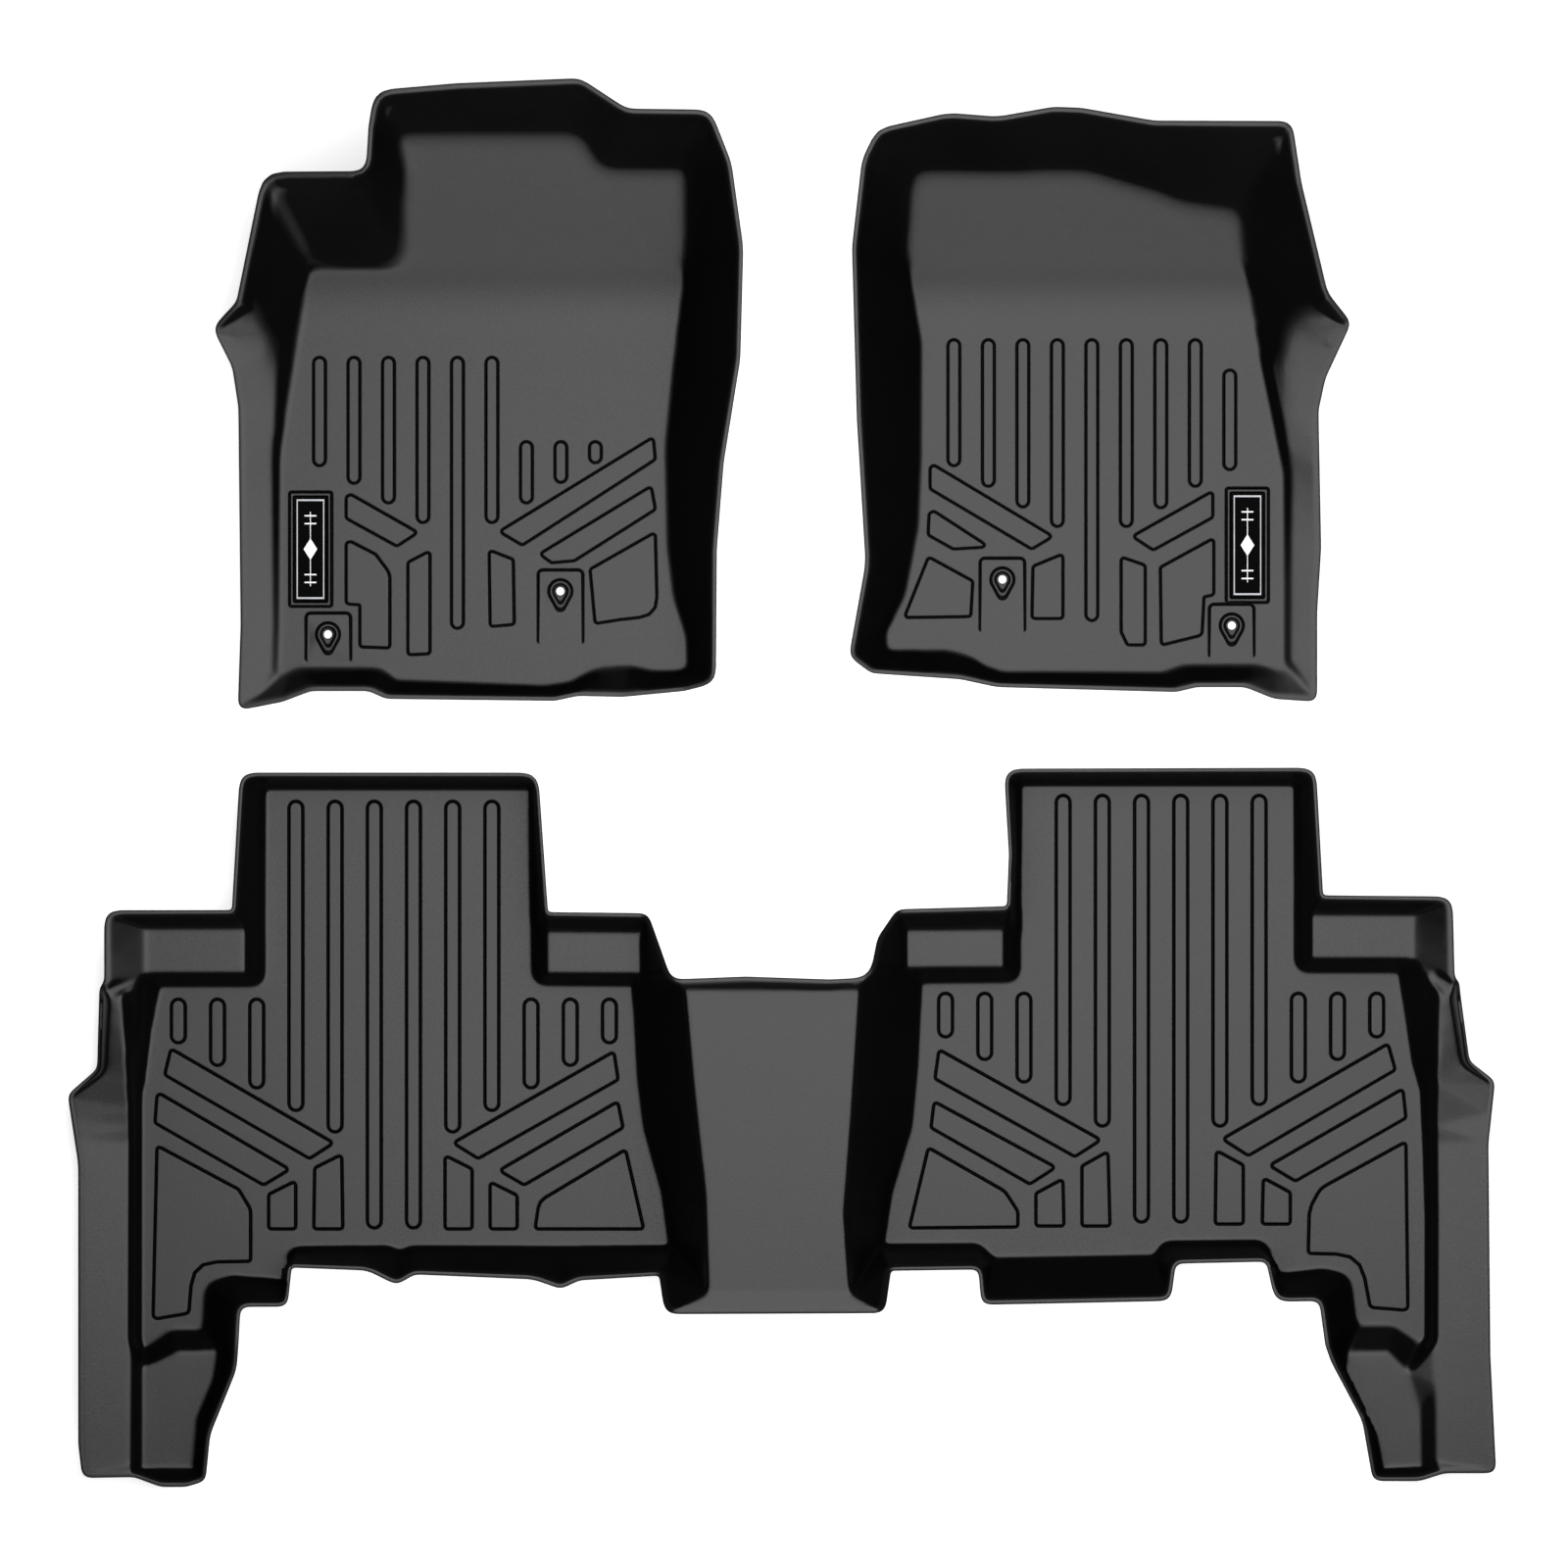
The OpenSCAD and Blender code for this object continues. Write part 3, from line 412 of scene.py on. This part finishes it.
class Mat:
    """A mat's surfaces as functions of the place in plan, read from its CAD node."""

    def __init__(self, node, eyelets):
        points, triangles, normals, sizes = read_cad(node)
        up = normals[:, 2] > TOP_SIDE
        flat = normals[:, 2] > LEVEL
        level = points[triangles].mean(axis=1)[:, 2]
        self.floor = self.commonest(level[flat], sizes[flat], 0, 20)
        lowest, highest = self.floor + LOWEST_RIB, self.floor + HIGHEST_RIB
        rib = self.commonest(level[flat], sizes[flat], lowest, highest)
        self.rib_height = rib - self.floor
        raised = flat & (np.abs(level - rib) < 0.05)
        detail = flat & (level > lowest) & (level < highest)
        self.holes = [eyelet_hole(e) for e in eyelets]
        for centre, _ in self.holes:
            near = np.all(np.abs(points[triangles].mean(axis=1)[:, :2] - centre) < EYELET_AREA, axis=1)
            detail |= near & up & (level > self.floor + 0.05) & (level < highest)

        rim = max((points[loop] for loop in boundary_loops(triangles[up])), key=lambda p: abs(area_of(p)))
        if area_of(rim) < 0:
            rim = rim[::-1]
        self.rim = thinned(smoothed(rim, sigma=2.5, step=1.5), tolerance=0.03, longest=7.0)
        self.edge = Outlines([self.rim])
        self.rim_z = self.rim[:, 2]

        grid = Heights(points.min(0), points.max(0))
        for t in triangles[up & ~detail]:
            grid.draw(points[t])
        grid.fill_inside(self.rim[:, :2], self.floor)
        self.low = grid.low
        self.crisp = grid.blurred(CRISP)
        self.soft = grid.blurred(SOFT)
        self.broad = grid.blurred(BROAD) if eyelets else None   # the mats with eyelets have toe boards

        self.kinds, loops = [], []
        for index in boundary_loops(triangles[raised]):
            loop = points[index][:, :2]
            if area_of(loop) < 0:
                self.kinds.append("pocket")
                loop = loop[::-1]
            else:
                self.kinds.append("raised")
            loops.append(thinned(smoothed(loop, sigma=0.9, step=0.6), tolerance=0.02, longest=60.0))
        self.tab_end = {}
        for centre, _ in self.holes:
            back = self.flat_back(centre)
            self.tab_end[len(loops)] = (centre, back)
            self.kinds.append("tab")
            loops.append(round_rect(centre[0] - TAB_SIDE, centre[1] - back,
                                    centre[0] + TAB_SIDE, centre[1] + TAB_FRONT, 4))
        self.details = Outlines(loops)

    @staticmethod
    def commonest(levels, sizes, low, high):
        """The height between low and high that the largest flat area has."""
        areas = {}
        for z, size in zip(levels, sizes):
            if low <= z <= high:
                areas[round(float(z), 1)] = areas.get(round(float(z), 1), 0) + size
        return max(areas, key=areas.get)

    def flat_back(self, centre):
        """How far the floor stays flat behind an eyelet's hole, up to where its grooves end."""
        steps = np.arange(TAB_BACK, TAB_GROOVE_BACK + 1)
        worst = np.zeros(len(steps))
        for side in (-TAB_SIDE, 0, TAB_SIDE):
            line = np.column_stack([np.full(len(steps), centre[0] + side), centre[1] - steps - 4])
            worst = np.maximum(worst, read_grid(self.soft, self.low, line) - self.floor)
        flat = steps[worst < 0.5]
        return float(flat.max()) if len(flat) else TAB_BACK

    def base(self, xy):
        """Height of the sheet without its ribs, and the distance in from the rim."""
        signed, _, seg, place = self.edge.measure(xy)
        inset = np.maximum(-signed, 0)
        after = (seg + 1) % len(self.rim)
        lip_z = self.rim_z[seg] * (1 - place) + self.rim_z[after] * place
        lip_z = lip_z + np.interp(inset, *zip(*LIP_EDGE))
        near = read_grid(self.crisp, self.low, xy)
        far = read_grid(self.soft, self.low, xy)
        if self.broad is not None:
            on_toe = ramp(far - self.floor, *TOE_RISE) * ramp(inset, *TOE_BROAD)
            far = far + (read_grid(self.broad, self.low, xy) - far) * on_toe
        wall = near + (far - near) * ramp(inset, *CRISP_TO_SOFT)
        on_lip = 1 - ramp(inset, *LIP_TO_SHEET)
        return wall + (lip_z - wall) * on_lip, inset

    def detail(self, xy):
        """Height that the ribs, plates and grooves add, and how deep in a groove or in the pocket under a
        badge a point is, 0 to 1: the painted shade laid there.
        """
        signed, owner, _, _ = self.details.measure(xy)
        step = np.interp(signed, *STEP_UP)
        groove = np.interp(signed, *GROOVE)
        add = self.rib_height * step - GROOVE_DEPTH * groove
        pocket = np.array(self.kinds)[owner] == "pocket"
        inner = (self.rib_height + POCKET_DEPTH) * np.interp(-signed, *STEP_DOWN) - POCKET_DEPTH
        add = np.where(pocket, inner, add)
        groove_and_pocket_shade = np.where(pocket, np.interp(-signed, *POCKET_SHADE), groove)
        for k, (centre, back) in self.tab_end.items():
            mine = owner == k
            behind = centre[1] - xy[:, 1]
            rise = smooth_step((TAB_BACK - behind) / TAB_FADE)
            cut = smooth_step((back - behind) / TAB_GROOVE_FADE)
            add = np.where(mine, TAB_HEIGHT * step * rise - GROOVE_DEPTH * groove * cut, add)
            groove_and_pocket_shade = np.where(mine, groove * cut, groove_and_pocket_shade)
        return add, groove_and_pocket_shade

    def top(self, xy):
        z, inset = self.base(xy)
        add, groove_and_pocket_shade = self.detail(xy)
        return z + add, groove_and_pocket_shade, inset

    def slope(self, xy, reach):
        """Rise of the softened sheet for each millimetre in the direction of reach."""
        ahead = read_grid(self.soft, self.low, xy + reach)
        behind = read_grid(self.soft, self.low, xy - reach)
        return (ahead - behind) / (2 * SLOPE_REACH)

    def bottom(self, xy):
        """Underside: one sheet thickness below, measured square to the sheet."""
        z, inset = self.base(xy)
        slope_x = self.slope(xy, np.array([SLOPE_REACH, 0]))
        slope_y = self.slope(xy, np.array([0, SLOPE_REACH]))
        steep = np.minimum(np.sqrt(1 + slope_x ** 2 + slope_y ** 2), STEEPEST)
        steep = 1 + (steep - 1) * ramp(inset, *UNDERSIDE_BEND)
        rounding = -np.interp(inset, *zip(*LIP_EDGE[:4]))
        return np.maximum(z - SHEET * steep + 2 * rounding, 0)


def lattice(mat):
    """Inner points of a mat's mesh: close where the sheet bends, far apart where it is flat."""
    low, high = mat.rim[:, :2].min(0), mat.rim[:, :2].max(0)
    nx, ny = (np.ceil((high - low) / STEP)).astype(int)
    i, j = (g.ravel() for g in np.meshgrid(np.arange(nx), np.arange(ny), indexing="ij"))
    xy = low + np.column_stack([i, j]) * STEP
    soft = mat.soft
    bend = np.abs(np.gradient(np.gradient(soft, axis=0), axis=0))
    bend = np.maximum(bend, np.abs(np.gradient(np.gradient(soft, axis=1), axis=1)))
    bend = gauss(bend, 1.5)
    slope = np.hypot(*np.gradient(soft))
    bent = read_grid(bend, mat.low, xy) > BEND
    sloping = read_grid(slope, mat.low, xy) > SLOPE
    sloping &= (i % SLOPE_STEPS == 0) & (j % SLOPE_STEPS == 0)
    xy = xy[bent | sloping | ((i % FLAT_STEPS == 0) & (j % FLAT_STEPS == 0))]
    return xy[inside(mat.rim, xy)]


def meshed(mat, loops, holes, points):
    """Triangles in plan between a mat's outline and its holes, with the given loops as edges."""
    coords, edges = [], []
    for loop in loops:
        first = len(coords)
        coords += [Vector((float(x), float(y))) for x, y in loop]
        edges += [(first + k, first + (k + 1) % len(loop)) for k in range(len(loop))]
    coords += [Vector((float(x), float(y))) for x, y in points]
    verts, _, faces, *_ = delaunay_2d_cdt(coords, edges, [], 0, 1e-4, False)
    xy = np.array([tuple(v) for v in verts])
    faces = np.array([tuple(f) for f in faces])
    middle = xy[faces].mean(axis=1)
    keep = inside(mat.rim, middle)
    for hole in holes:
        keep &= ~inside(hole, middle)
    return xy, faces[keep]


def mat_mesh(name, mat):
    """The mat as one closed mesh: top with its details, plain underside, rounded edge between them."""
    rim = mat.rim[:, :2]
    top_holes = [circle(c, POST_HOLE, 48) for c, _ in mat.holes]
    low_holes = [circle(c, RING_POCKET, 48) for c, _ in mat.holes]
    rim_rows = [mat.edge.row(0, -s) for s in LIP_ROWS]
    detail_rows = []
    for k, kind in enumerate(mat.kinds):
        spans = POCKET_ROWS if kind == "pocket" else RAISED_ROWS
        sign = -1 if kind == "pocket" else 1
        detail_rows += [mat.details.row(k, sign * s) for s in spans]
    detail_rows = [row for row in detail_rows if len(row) > 2]
    inner = lattice(mat)
    inset = -mat.edge.measure(inner)[0]
    near_detail = mat.details.measure(inner)[0]
    clear = inset > LIP_ROWS[-1] + ROW_GAP
    clear &= (near_detail < RAISED_ROWS[0] - ROW_GAP) | (near_detail > RAISED_ROWS[-1] + ROW_GAP)
    for c, _ in mat.holes:
        clear &= np.linalg.norm(inner - c, axis=1) > POST_HOLE + 2
    xy, faces = meshed(mat, [rim] + rim_rows + detail_rows + top_holes, top_holes, inner[clear])
    z, groove_and_pocket_shade, from_rim = mat.top(xy)
    lip = 1 - ramp(from_rim, *PALE_LIP)

    low_inner = coarse(inner[inset > UNDERSIDE_STEP], UNDERSIDE_STEP)
    for c, _ in mat.holes:
        low_inner = low_inner[np.linalg.norm(low_inner - c, axis=1) > RING_POCKET + 3]
    low_rows = [mat.edge.row(0, -s) for s in UNDERSIDE_ROWS]
    low_xy, low_faces = meshed(mat, [rim] + low_rows + low_holes, low_holes, low_inner)
    low_z = mat.bottom(low_xy)

    points = np.vstack([np.column_stack([xy, z]), np.column_stack([low_xy, low_z])])
    faces = [tuple(f) for f in orient(xy, faces, True)]
    faces += [tuple(f) for f in orient(low_xy, low_faces, False) + len(xy)]
    # Painted shade per point, from the grooves and the pockets under the badges; the underside has none
    painted_shade_field = np.concatenate([groove_and_pocket_shade, np.zeros(len(low_xy))])
    lips = np.concatenate([lip, np.zeros(len(low_xy))])
    for top_hole, low_hole in zip(top_holes, low_holes):
        first = len(points)
        count = len(top_hole)
        heights = [(top_hole, mat.floor + TAB_HEIGHT), (top_hole, POCKET_ROOF), (low_hole, POCKET_ROOF),
                   (low_hole, 0.0)]
        rings = [np.column_stack([ring, np.full(count, h)]) for ring, h in heights]
        points = np.vstack([points] + rings)
        painted_shade_field = np.concatenate([painted_shade_field, np.zeros(count * len(rings))])
        lips = np.concatenate([lips, np.zeros(count * len(rings))])
        for r in range(len(rings) - 1):
            for k in range(count):
                a, b = first + r * count + k, first + r * count + (k + 1) % count
                faces.append((a, a + count, b + count, b))
    # The "groove" attribute carries that painted shade to the materials
    return build(name, points, faces, {"groove": painted_shade_field, "lip": lips})


def coarse(xy, step):
    """One point for every square of a coarser lattice."""
    cells = np.round(xy / step).astype(int)
    _, first = np.unique(cells, axis=0, return_index=True)
    return xy[np.sort(first)]


def orient(xy, faces, upwards):
    a, b, c = (xy[faces[:, k]] for k in range(3))
    turn = (b[:, 0] - a[:, 0]) * (c[:, 1] - a[:, 1]) - (b[:, 1] - a[:, 1]) * (c[:, 0] - a[:, 0])
    wrong = (turn < 0) == upwards
    faces = faces.copy()
    faces[wrong] = faces[wrong][:, ::-1]
    return faces


def build(name, points, faces, fields=None):
    """A smooth-shaded mesh object from points in millimetres, with per-point values as attributes."""
    mesh = bpy.data.meshes.new(name)
    mesh.from_pydata([tuple(p) for p in points * MM], [], [tuple(int(k) for k in f) for f in faces])
    for key, values in (fields or {}).items():
        layer = mesh.attributes.new(key, "FLOAT", "POINT")
        layer.data.foreach_set("value", np.asarray(values, np.float32))
    bm = bmesh.new()
    bm.from_mesh(mesh)
    bmesh.ops.remove_doubles(bm, verts=bm.verts, dist=0.002 * MM)
    bmesh.ops.delete(bm, geom=[v for v in bm.verts if not v.link_faces], context="VERTS")
    for f in bm.faces:
        f.smooth = True
    bm.to_mesh(mesh)
    bm.free()
    mesh.set_sharp_from_angle(angle=math.radians(65))
    piece = bpy.data.objects.new(name, mesh)
    bpy.context.scene.collection.objects.link(piece)
    return piece


# ---------------------------------------------------------------- eyelets

def drop_outline(r, narrow, tail, grow):
    """A drop round the origin, grown or shrunk: big round end in front, small one a tail's length behind.

    The small end shrinks half as fast, so that the inner outlines stay blunt."""
    lean = math.asin((r - narrow) / tail)
    big, small = r + grow, narrow + grow / 2
    behind = np.array([0, -(big - small) / math.sin(lean)])
    a = np.linspace(-lean, math.pi + lean, 48)
    front = big * np.column_stack([np.cos(a), np.sin(a)])
    a = np.linspace(math.pi + lean, 2 * math.pi - lean, 16)
    back = small * np.column_stack([np.cos(a), np.sin(a)]) + behind
    t = np.arange(1, 9)[:, None] / 9
    left = front[-1] + (back[0] - front[-1]) * t
    right = back[-1] + (front[0] - back[-1]) * t
    return np.vstack([front, left, back, right])


def eyelet_mesh(name, node, seat):
    """Moulded drop-shaped eyelet on its seat: flange with a sunk dish round the hole, barrel below."""
    low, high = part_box(node)
    z0, top = low.z / MM, high.z / MM
    centre, r = eyelet_hole(node)
    narrow = 0.45 * r
    tail = (high.y - low.y) / MM - r - narrow
    rays = drop_outline(r, narrow, tail, 0)
    rays /= np.linalg.norm(rays, axis=1)[:, None]

    def drop(grow, z, painted_shade=0.0):
        return centre + drop_outline(r, narrow, tail, grow), z, painted_shade

    def disc(radius, z, painted_shade=0.0):
        return centre + rays * radius, z, painted_shade

    # Section through the eyelet, from the foot of its bore up the barrel, round the flange and into the dish
    hole, barrel = EYELET_HOLE, EYELET_BARREL
    # Rings given a 1 carry painted shade: the groove round the flange's edge and the wall down into the dish
    rings = [
        disc(hole, z0), disc(barrel - 0.4, z0), disc(barrel, z0 + 0.4), disc(barrel, seat),
        drop(-0.3, seat, 1), drop(0, seat + 0.3, 1), drop(-0.3, seat + 0.9, 1), drop(-3.0, top - 0.4, 1),
        drop(-3.2, top - 0.1), drop(-3.5, top), drop(-5.0, top), drop(-5.2, top - 0.15, 1),
        drop(-5.8, top - 0.8, 1), drop(-7.6, top - 1.2, 1), drop(-7.9, top - 1.25),
        disc(hole + 1.1, top - 1.25), disc(hole + 0.4, top - 1.3), disc(hole, top - 1.7)]
    count, n = len(rays), len(rings)
    points = np.vstack([np.column_stack([xy, np.full(count, z)]) for xy, z, _ in rings])
    painted_shade = np.concatenate([np.full(count, d) for _, _, d in rings])
    faces = []
    for i in range(n):
        for k in range(count):
            here, after = i * count, (i + 1) % n * count
            faces.append((here + k, here + (k + 1) % count, after + (k + 1) % count, after + k))
    return build(name, points, faces, {"groove": painted_shade})


# ---------------------------------------------------------------- materials

def node_material(name):
    material = bpy.data.materials.new(name)
    material.use_nodes = True
    tree = material.node_tree
    return material, tree, tree.nodes["Principled BSDF"]


def noise(tree, coords, scale, detail=2.0, rough=0.5):
    n = tree.nodes.new("ShaderNodeTexNoise")
    n.inputs["Scale"].default_value = scale
    n.inputs["Detail"].default_value = detail
    n.inputs["Roughness"].default_value = rough
    tree.links.new(coords, n.inputs["Vector"])
    return n.outputs["Fac"]


def mapped(tree, value, low, high, new_low, new_high):
    n = tree.nodes.new("ShaderNodeMapRange")
    for key, number in zip(("From Min", "From Max", "To Min", "To Max"), (low, high, new_low, new_high)):
        n.inputs[key].default_value = number
    tree.links.new(value, n.inputs["Value"])
    return n.outputs["Result"]


def mixed(tree, factor, a, b):
    n = tree.nodes.new("ShaderNodeMix")
    n.data_type = "RGBA"
    for socket, value in ((n.inputs[6], a), (n.inputs[7], b)):
        if isinstance(value, tuple):
            socket.default_value = (*value, 1)
        else:
            tree.links.new(value, socket)
    tree.links.new(factor, n.inputs["Factor"])
    return n.outputs[2]


def bump(tree, height, strength, distance, normal=None):
    n = tree.nodes.new("ShaderNodeBump")
    n.inputs["Strength"].default_value = strength
    n.inputs["Distance"].default_value = distance
    tree.links.new(height, n.inputs["Height"])
    if normal:
        tree.links.new(normal, n.inputs["Normal"])
    return n.outputs["Normal"]


def object_coords(tree):
    return tree.nodes.new("ShaderNodeTexCoord").outputs["Object"]


def attribute(tree, name):
    n = tree.nodes.new("ShaderNodeAttribute")
    n.attribute_name = name
    return n.outputs["Fac"]


def facing(tree, none, full):
    """0 to 1 as a surface turns from one steepness to another; both are heights of its unit normal."""
    split = tree.nodes.new("ShaderNodeSeparateXYZ")
    tree.links.new(tree.nodes.new("ShaderNodeNewGeometry").outputs["Normal"], split.inputs["Vector"])
    return mapped(tree, split.outputs["Z"], none, full, 0, 1)


def product(tree, a, b):
    n = tree.nodes.new("ShaderNodeMath")
    n.operation = "MULTIPLY"
    tree.links.new(a, n.inputs[0])
    tree.links.new(b, n.inputs[1])
    return n.outputs["Value"]


def rubber_material(name, steep, gentle):
    """Satin black moulded rubber: fine grain, faint blotches, a paler lip, painted shade in the grooves and
    badge pockets, painted fill light on the underside.

    Surfaces steeper than "steep" have next to no sheen, those flatter than "gentle" have all of it: painted
    shade that turns the walls black."""
    material, tree, shader = node_material(name)
    coords = object_coords(tree)
    blotch = noise(tree, coords, 9, 4, 0.55)
    grain = noise(tree, coords, 900, 2, 0.6)
    pebble = noise(tree, coords, 420, 1, 0.5)
    groove = mapped(tree, attribute(tree, "groove"), 0.1, 0.6, 0, 1)
    blotch = mapped(tree, blotch, 0.3, 0.7, 0, 1)
    tone = mixed(tree, blotch, (0.0012, 0.0012, 0.0013), (0.0022, 0.0022, 0.0023))
    tone = mixed(tree, mapped(tree, grain, 0.35, 0.65, 0, 0.35), tone, (0.0045, 0.0045, 0.0047))
    tone = mixed(tree, attribute(tree, "lip"), tone, (0.006, 0.006, 0.0063))
    # Painted shade: near-black colour in the grooves and in the pockets under the badges
    tone = mixed(tree, groove, tone, (0.0008, 0.0008, 0.0008))
    # Painted fill light: whatever faces down, the underside, gets a much paler colour
    tone = mixed(tree, facing(tree, 0.0, -0.2), tone, (0.03, 0.03, 0.031))
    tree.links.new(tone, shader.inputs["Base Color"])
    tree.links.new(mapped(tree, grain, 0.3, 0.7, 0.36, 0.48), shader.inputs["Roughness"])
    # Painted shade: sheen falls away on steep walls and in grooves
    level = facing(tree, steep, gentle)
    sheen = product(tree, mapped(tree, groove, 0, 1, 0.55, 0.04), mapped(tree, level, 0, 1, 0.06, 1))
    tree.links.new(sheen, shader.inputs["Specular IOR Level"])
    fine = bump(tree, grain, 0.35, 0.0003)
    tree.links.new(bump(tree, pebble, 0.2, 0.0004, fine), shader.inputs["Normal"])
    return material


def plastic_material(name, colour, roughness, grain_strength):
    material, tree, shader = node_material(name)
    coords = object_coords(tree)
    grain = noise(tree, coords, 1400, 2)
    cloud = noise(tree, coords, 60, 3)
    light = tuple(min(1, c * 1.35) for c in colour)
    tone = mixed(tree, mapped(tree, cloud, 0.3, 0.7, 0, 1), colour, light)
    tree.links.new(tone, shader.inputs["Base Color"])
    rough = mapped(tree, cloud, 0.3, 0.7, roughness * 0.85, roughness * 1.15)
    tree.links.new(rough, shader.inputs["Roughness"])
    tree.links.new(bump(tree, grain, grain_strength, 0.0002), shader.inputs["Normal"])
    return material, shader


def eyelet_material():
    """Matt black plastic; in the groove round the flange and down into the dish its sheen is taken away, as
    painted shade.
    """
    material, shader = plastic_material("eyelet_black", (0.003, 0.003, 0.0032), 0.4, 0.2)
    tree = material.node_tree
    painted_shade = attribute(tree, "groove")
    tree.links.new(mapped(tree, painted_shade, 0, 0.7, 0.42, 0.02), shader.inputs["Specular IOR Level"])
    return material


def badge_materials():
    silver, shader = plastic_material("badge_silver", (0.2, 0.205, 0.215), 0.22, 0.05)
    shader.inputs["Metallic"].default_value = 1.0
    gloss, shader = plastic_material("badge_gloss_black", (0.001, 0.001, 0.0011), 0.2, 0.02)
    shader.inputs["Specular IOR Level"].default_value = 0.01
    white, _ = plastic_material("badge_print_white", (0.78, 0.78, 0.78), 0.45, 0.1)
    return {"badge_base": silver, "badge_face": gloss, "badge_emblem": white}


def dress_cad(node, material, bevel):
    """A CAD node whose shape is right: rounded edges and a material."""
    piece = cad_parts[node]
    piece.data.materials.clear()
    piece.data.materials.append(material)
    weld = piece.modifiers.new("weld", "WELD")
    weld.merge_threshold = 0.002 * MM
    edge = piece.modifiers.new("edges", "BEVEL")
    edge.width = bevel * MM
    edge.segments = 3
    edge.limit_method = "ANGLE"
    edge.angle_limit = math.radians(35)
    edge.harden_normals = True
    return piece


# ---------------------------------------------------------------- build the set

mats = {body: Mat(spec["node"], spec["eyelets"]) for body, spec in MATS.items()}
# The two copies differ only in how steep a surface must be before its painted shade sets in; on the rear mat
# it starts at gentler slopes
front_rubber = rubber_material("front_mat_rubber", 0.7, 0.82)
rear_rubber = rubber_material("rear_mat_rubber", 0.88, 0.97)
for body, spec in MATS.items():
    piece = mat_mesh(f"{body}_mat_surface", mats[body])
    piece.data.materials.append(rear_rubber if body == "rear" else front_rubber)
    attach(piece, body)
    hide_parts(spec["node"])
    print(piece.name, len(piece.data.polygons), "faces")

eyelet_black = eyelet_material()
badge_looks = badge_materials()
for body in ("driver", "passenger"):
    for node in MATS[body]["eyelets"]:
        piece = eyelet_mesh(f"{node}_moulded", node, mats[body].floor + TAB_HEIGHT)
        piece.data.materials.append(eyelet_black)
        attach(piece, body)
        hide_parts(node)
        dress_cad(f"{node}_ring", eyelet_black, 0.3)
    for part, material in badge_looks.items():
        dress_cad(f"{body}_{part}", material, 0.1 if part == "badge_emblem" else 0.25)

# ---------------------------------------------------------------- stage, light and camera

low, high = cad_box
FLOOR_SIZE = 40.0
FLOOR_Z = -0.5 * MM     # just below the mats, so that the surfaces don't fight


def white_floor():
    bpy.ops.mesh.primitive_grid_add(x_subdivisions=8, y_subdivisions=8, size=FLOOR_SIZE,
                                    location=(0, 0, FLOOR_Z))
    floor = bpy.context.object
    floor.name = "studio_floor"
    material, tree, shader = node_material("studio_white")
    tone = noise(tree, object_coords(tree), 3, 2)
    tree.links.new(mixed(tree, tone, (0.9, 0.9, 0.9), (0.92, 0.92, 0.92)), shader.inputs["Base Color"])
    shader.inputs["Roughness"].default_value = 0.9
    shader.inputs["Emission Color"].default_value = (1, 1, 1, 1)
    shader.inputs["Emission Strength"].default_value = 0.65
    floor.data.materials.append(material)


def soft_light(name, place, aim, size, power):
    light = bpy.data.lights.new(name, "AREA")
    light.shape = "RECTANGLE"
    light.size, light.size_y = size
    light.energy = power
    lamp = bpy.data.objects.new(name, light)
    lamp.location = place
    lamp.rotation_euler = (Vector(aim) - Vector(place)).to_track_quat("-Z", "Y").to_euler()
    lamp.visible_camera = False
    bpy.context.scene.collection.objects.link(lamp)


white_floor()
soft_light("overhead", (0.2, 0.2, 1.35), (0.2, 0.2, 0), (2.1, 2.05), 39)
soft_light("low_rear", (0.3, -4.4, 2.0), (0.3, 0.3, 0), (5.0, 1.4), 84)

world = bpy.data.worlds.new("studio")
bpy.context.scene.world = world
world.use_nodes = True
world.node_tree.nodes["Background"].inputs["Color"].default_value = (1, 1, 1, 1)
world.node_tree.nodes["Background"].inputs["Strength"].default_value = 0.03

camera_data = bpy.data.cameras.new("camera")
camera_data.lens = 500
camera_data.sensor_width = 36
FRAME_WIDTH = 1.6
camera = bpy.data.objects.new("camera", camera_data)
distance = FRAME_WIDTH * camera_data.lens / camera_data.sensor_width
camera.location = ((low[0] + high[0]) / 2 + 0.002, (low[1] + high[1]) / 2 + 0.001, distance)
camera_data.clip_end = 100
bpy.context.scene.collection.objects.link(camera)
bpy.context.scene.camera = camera
bpy.context.scene.view_settings.view_transform = "Standard"
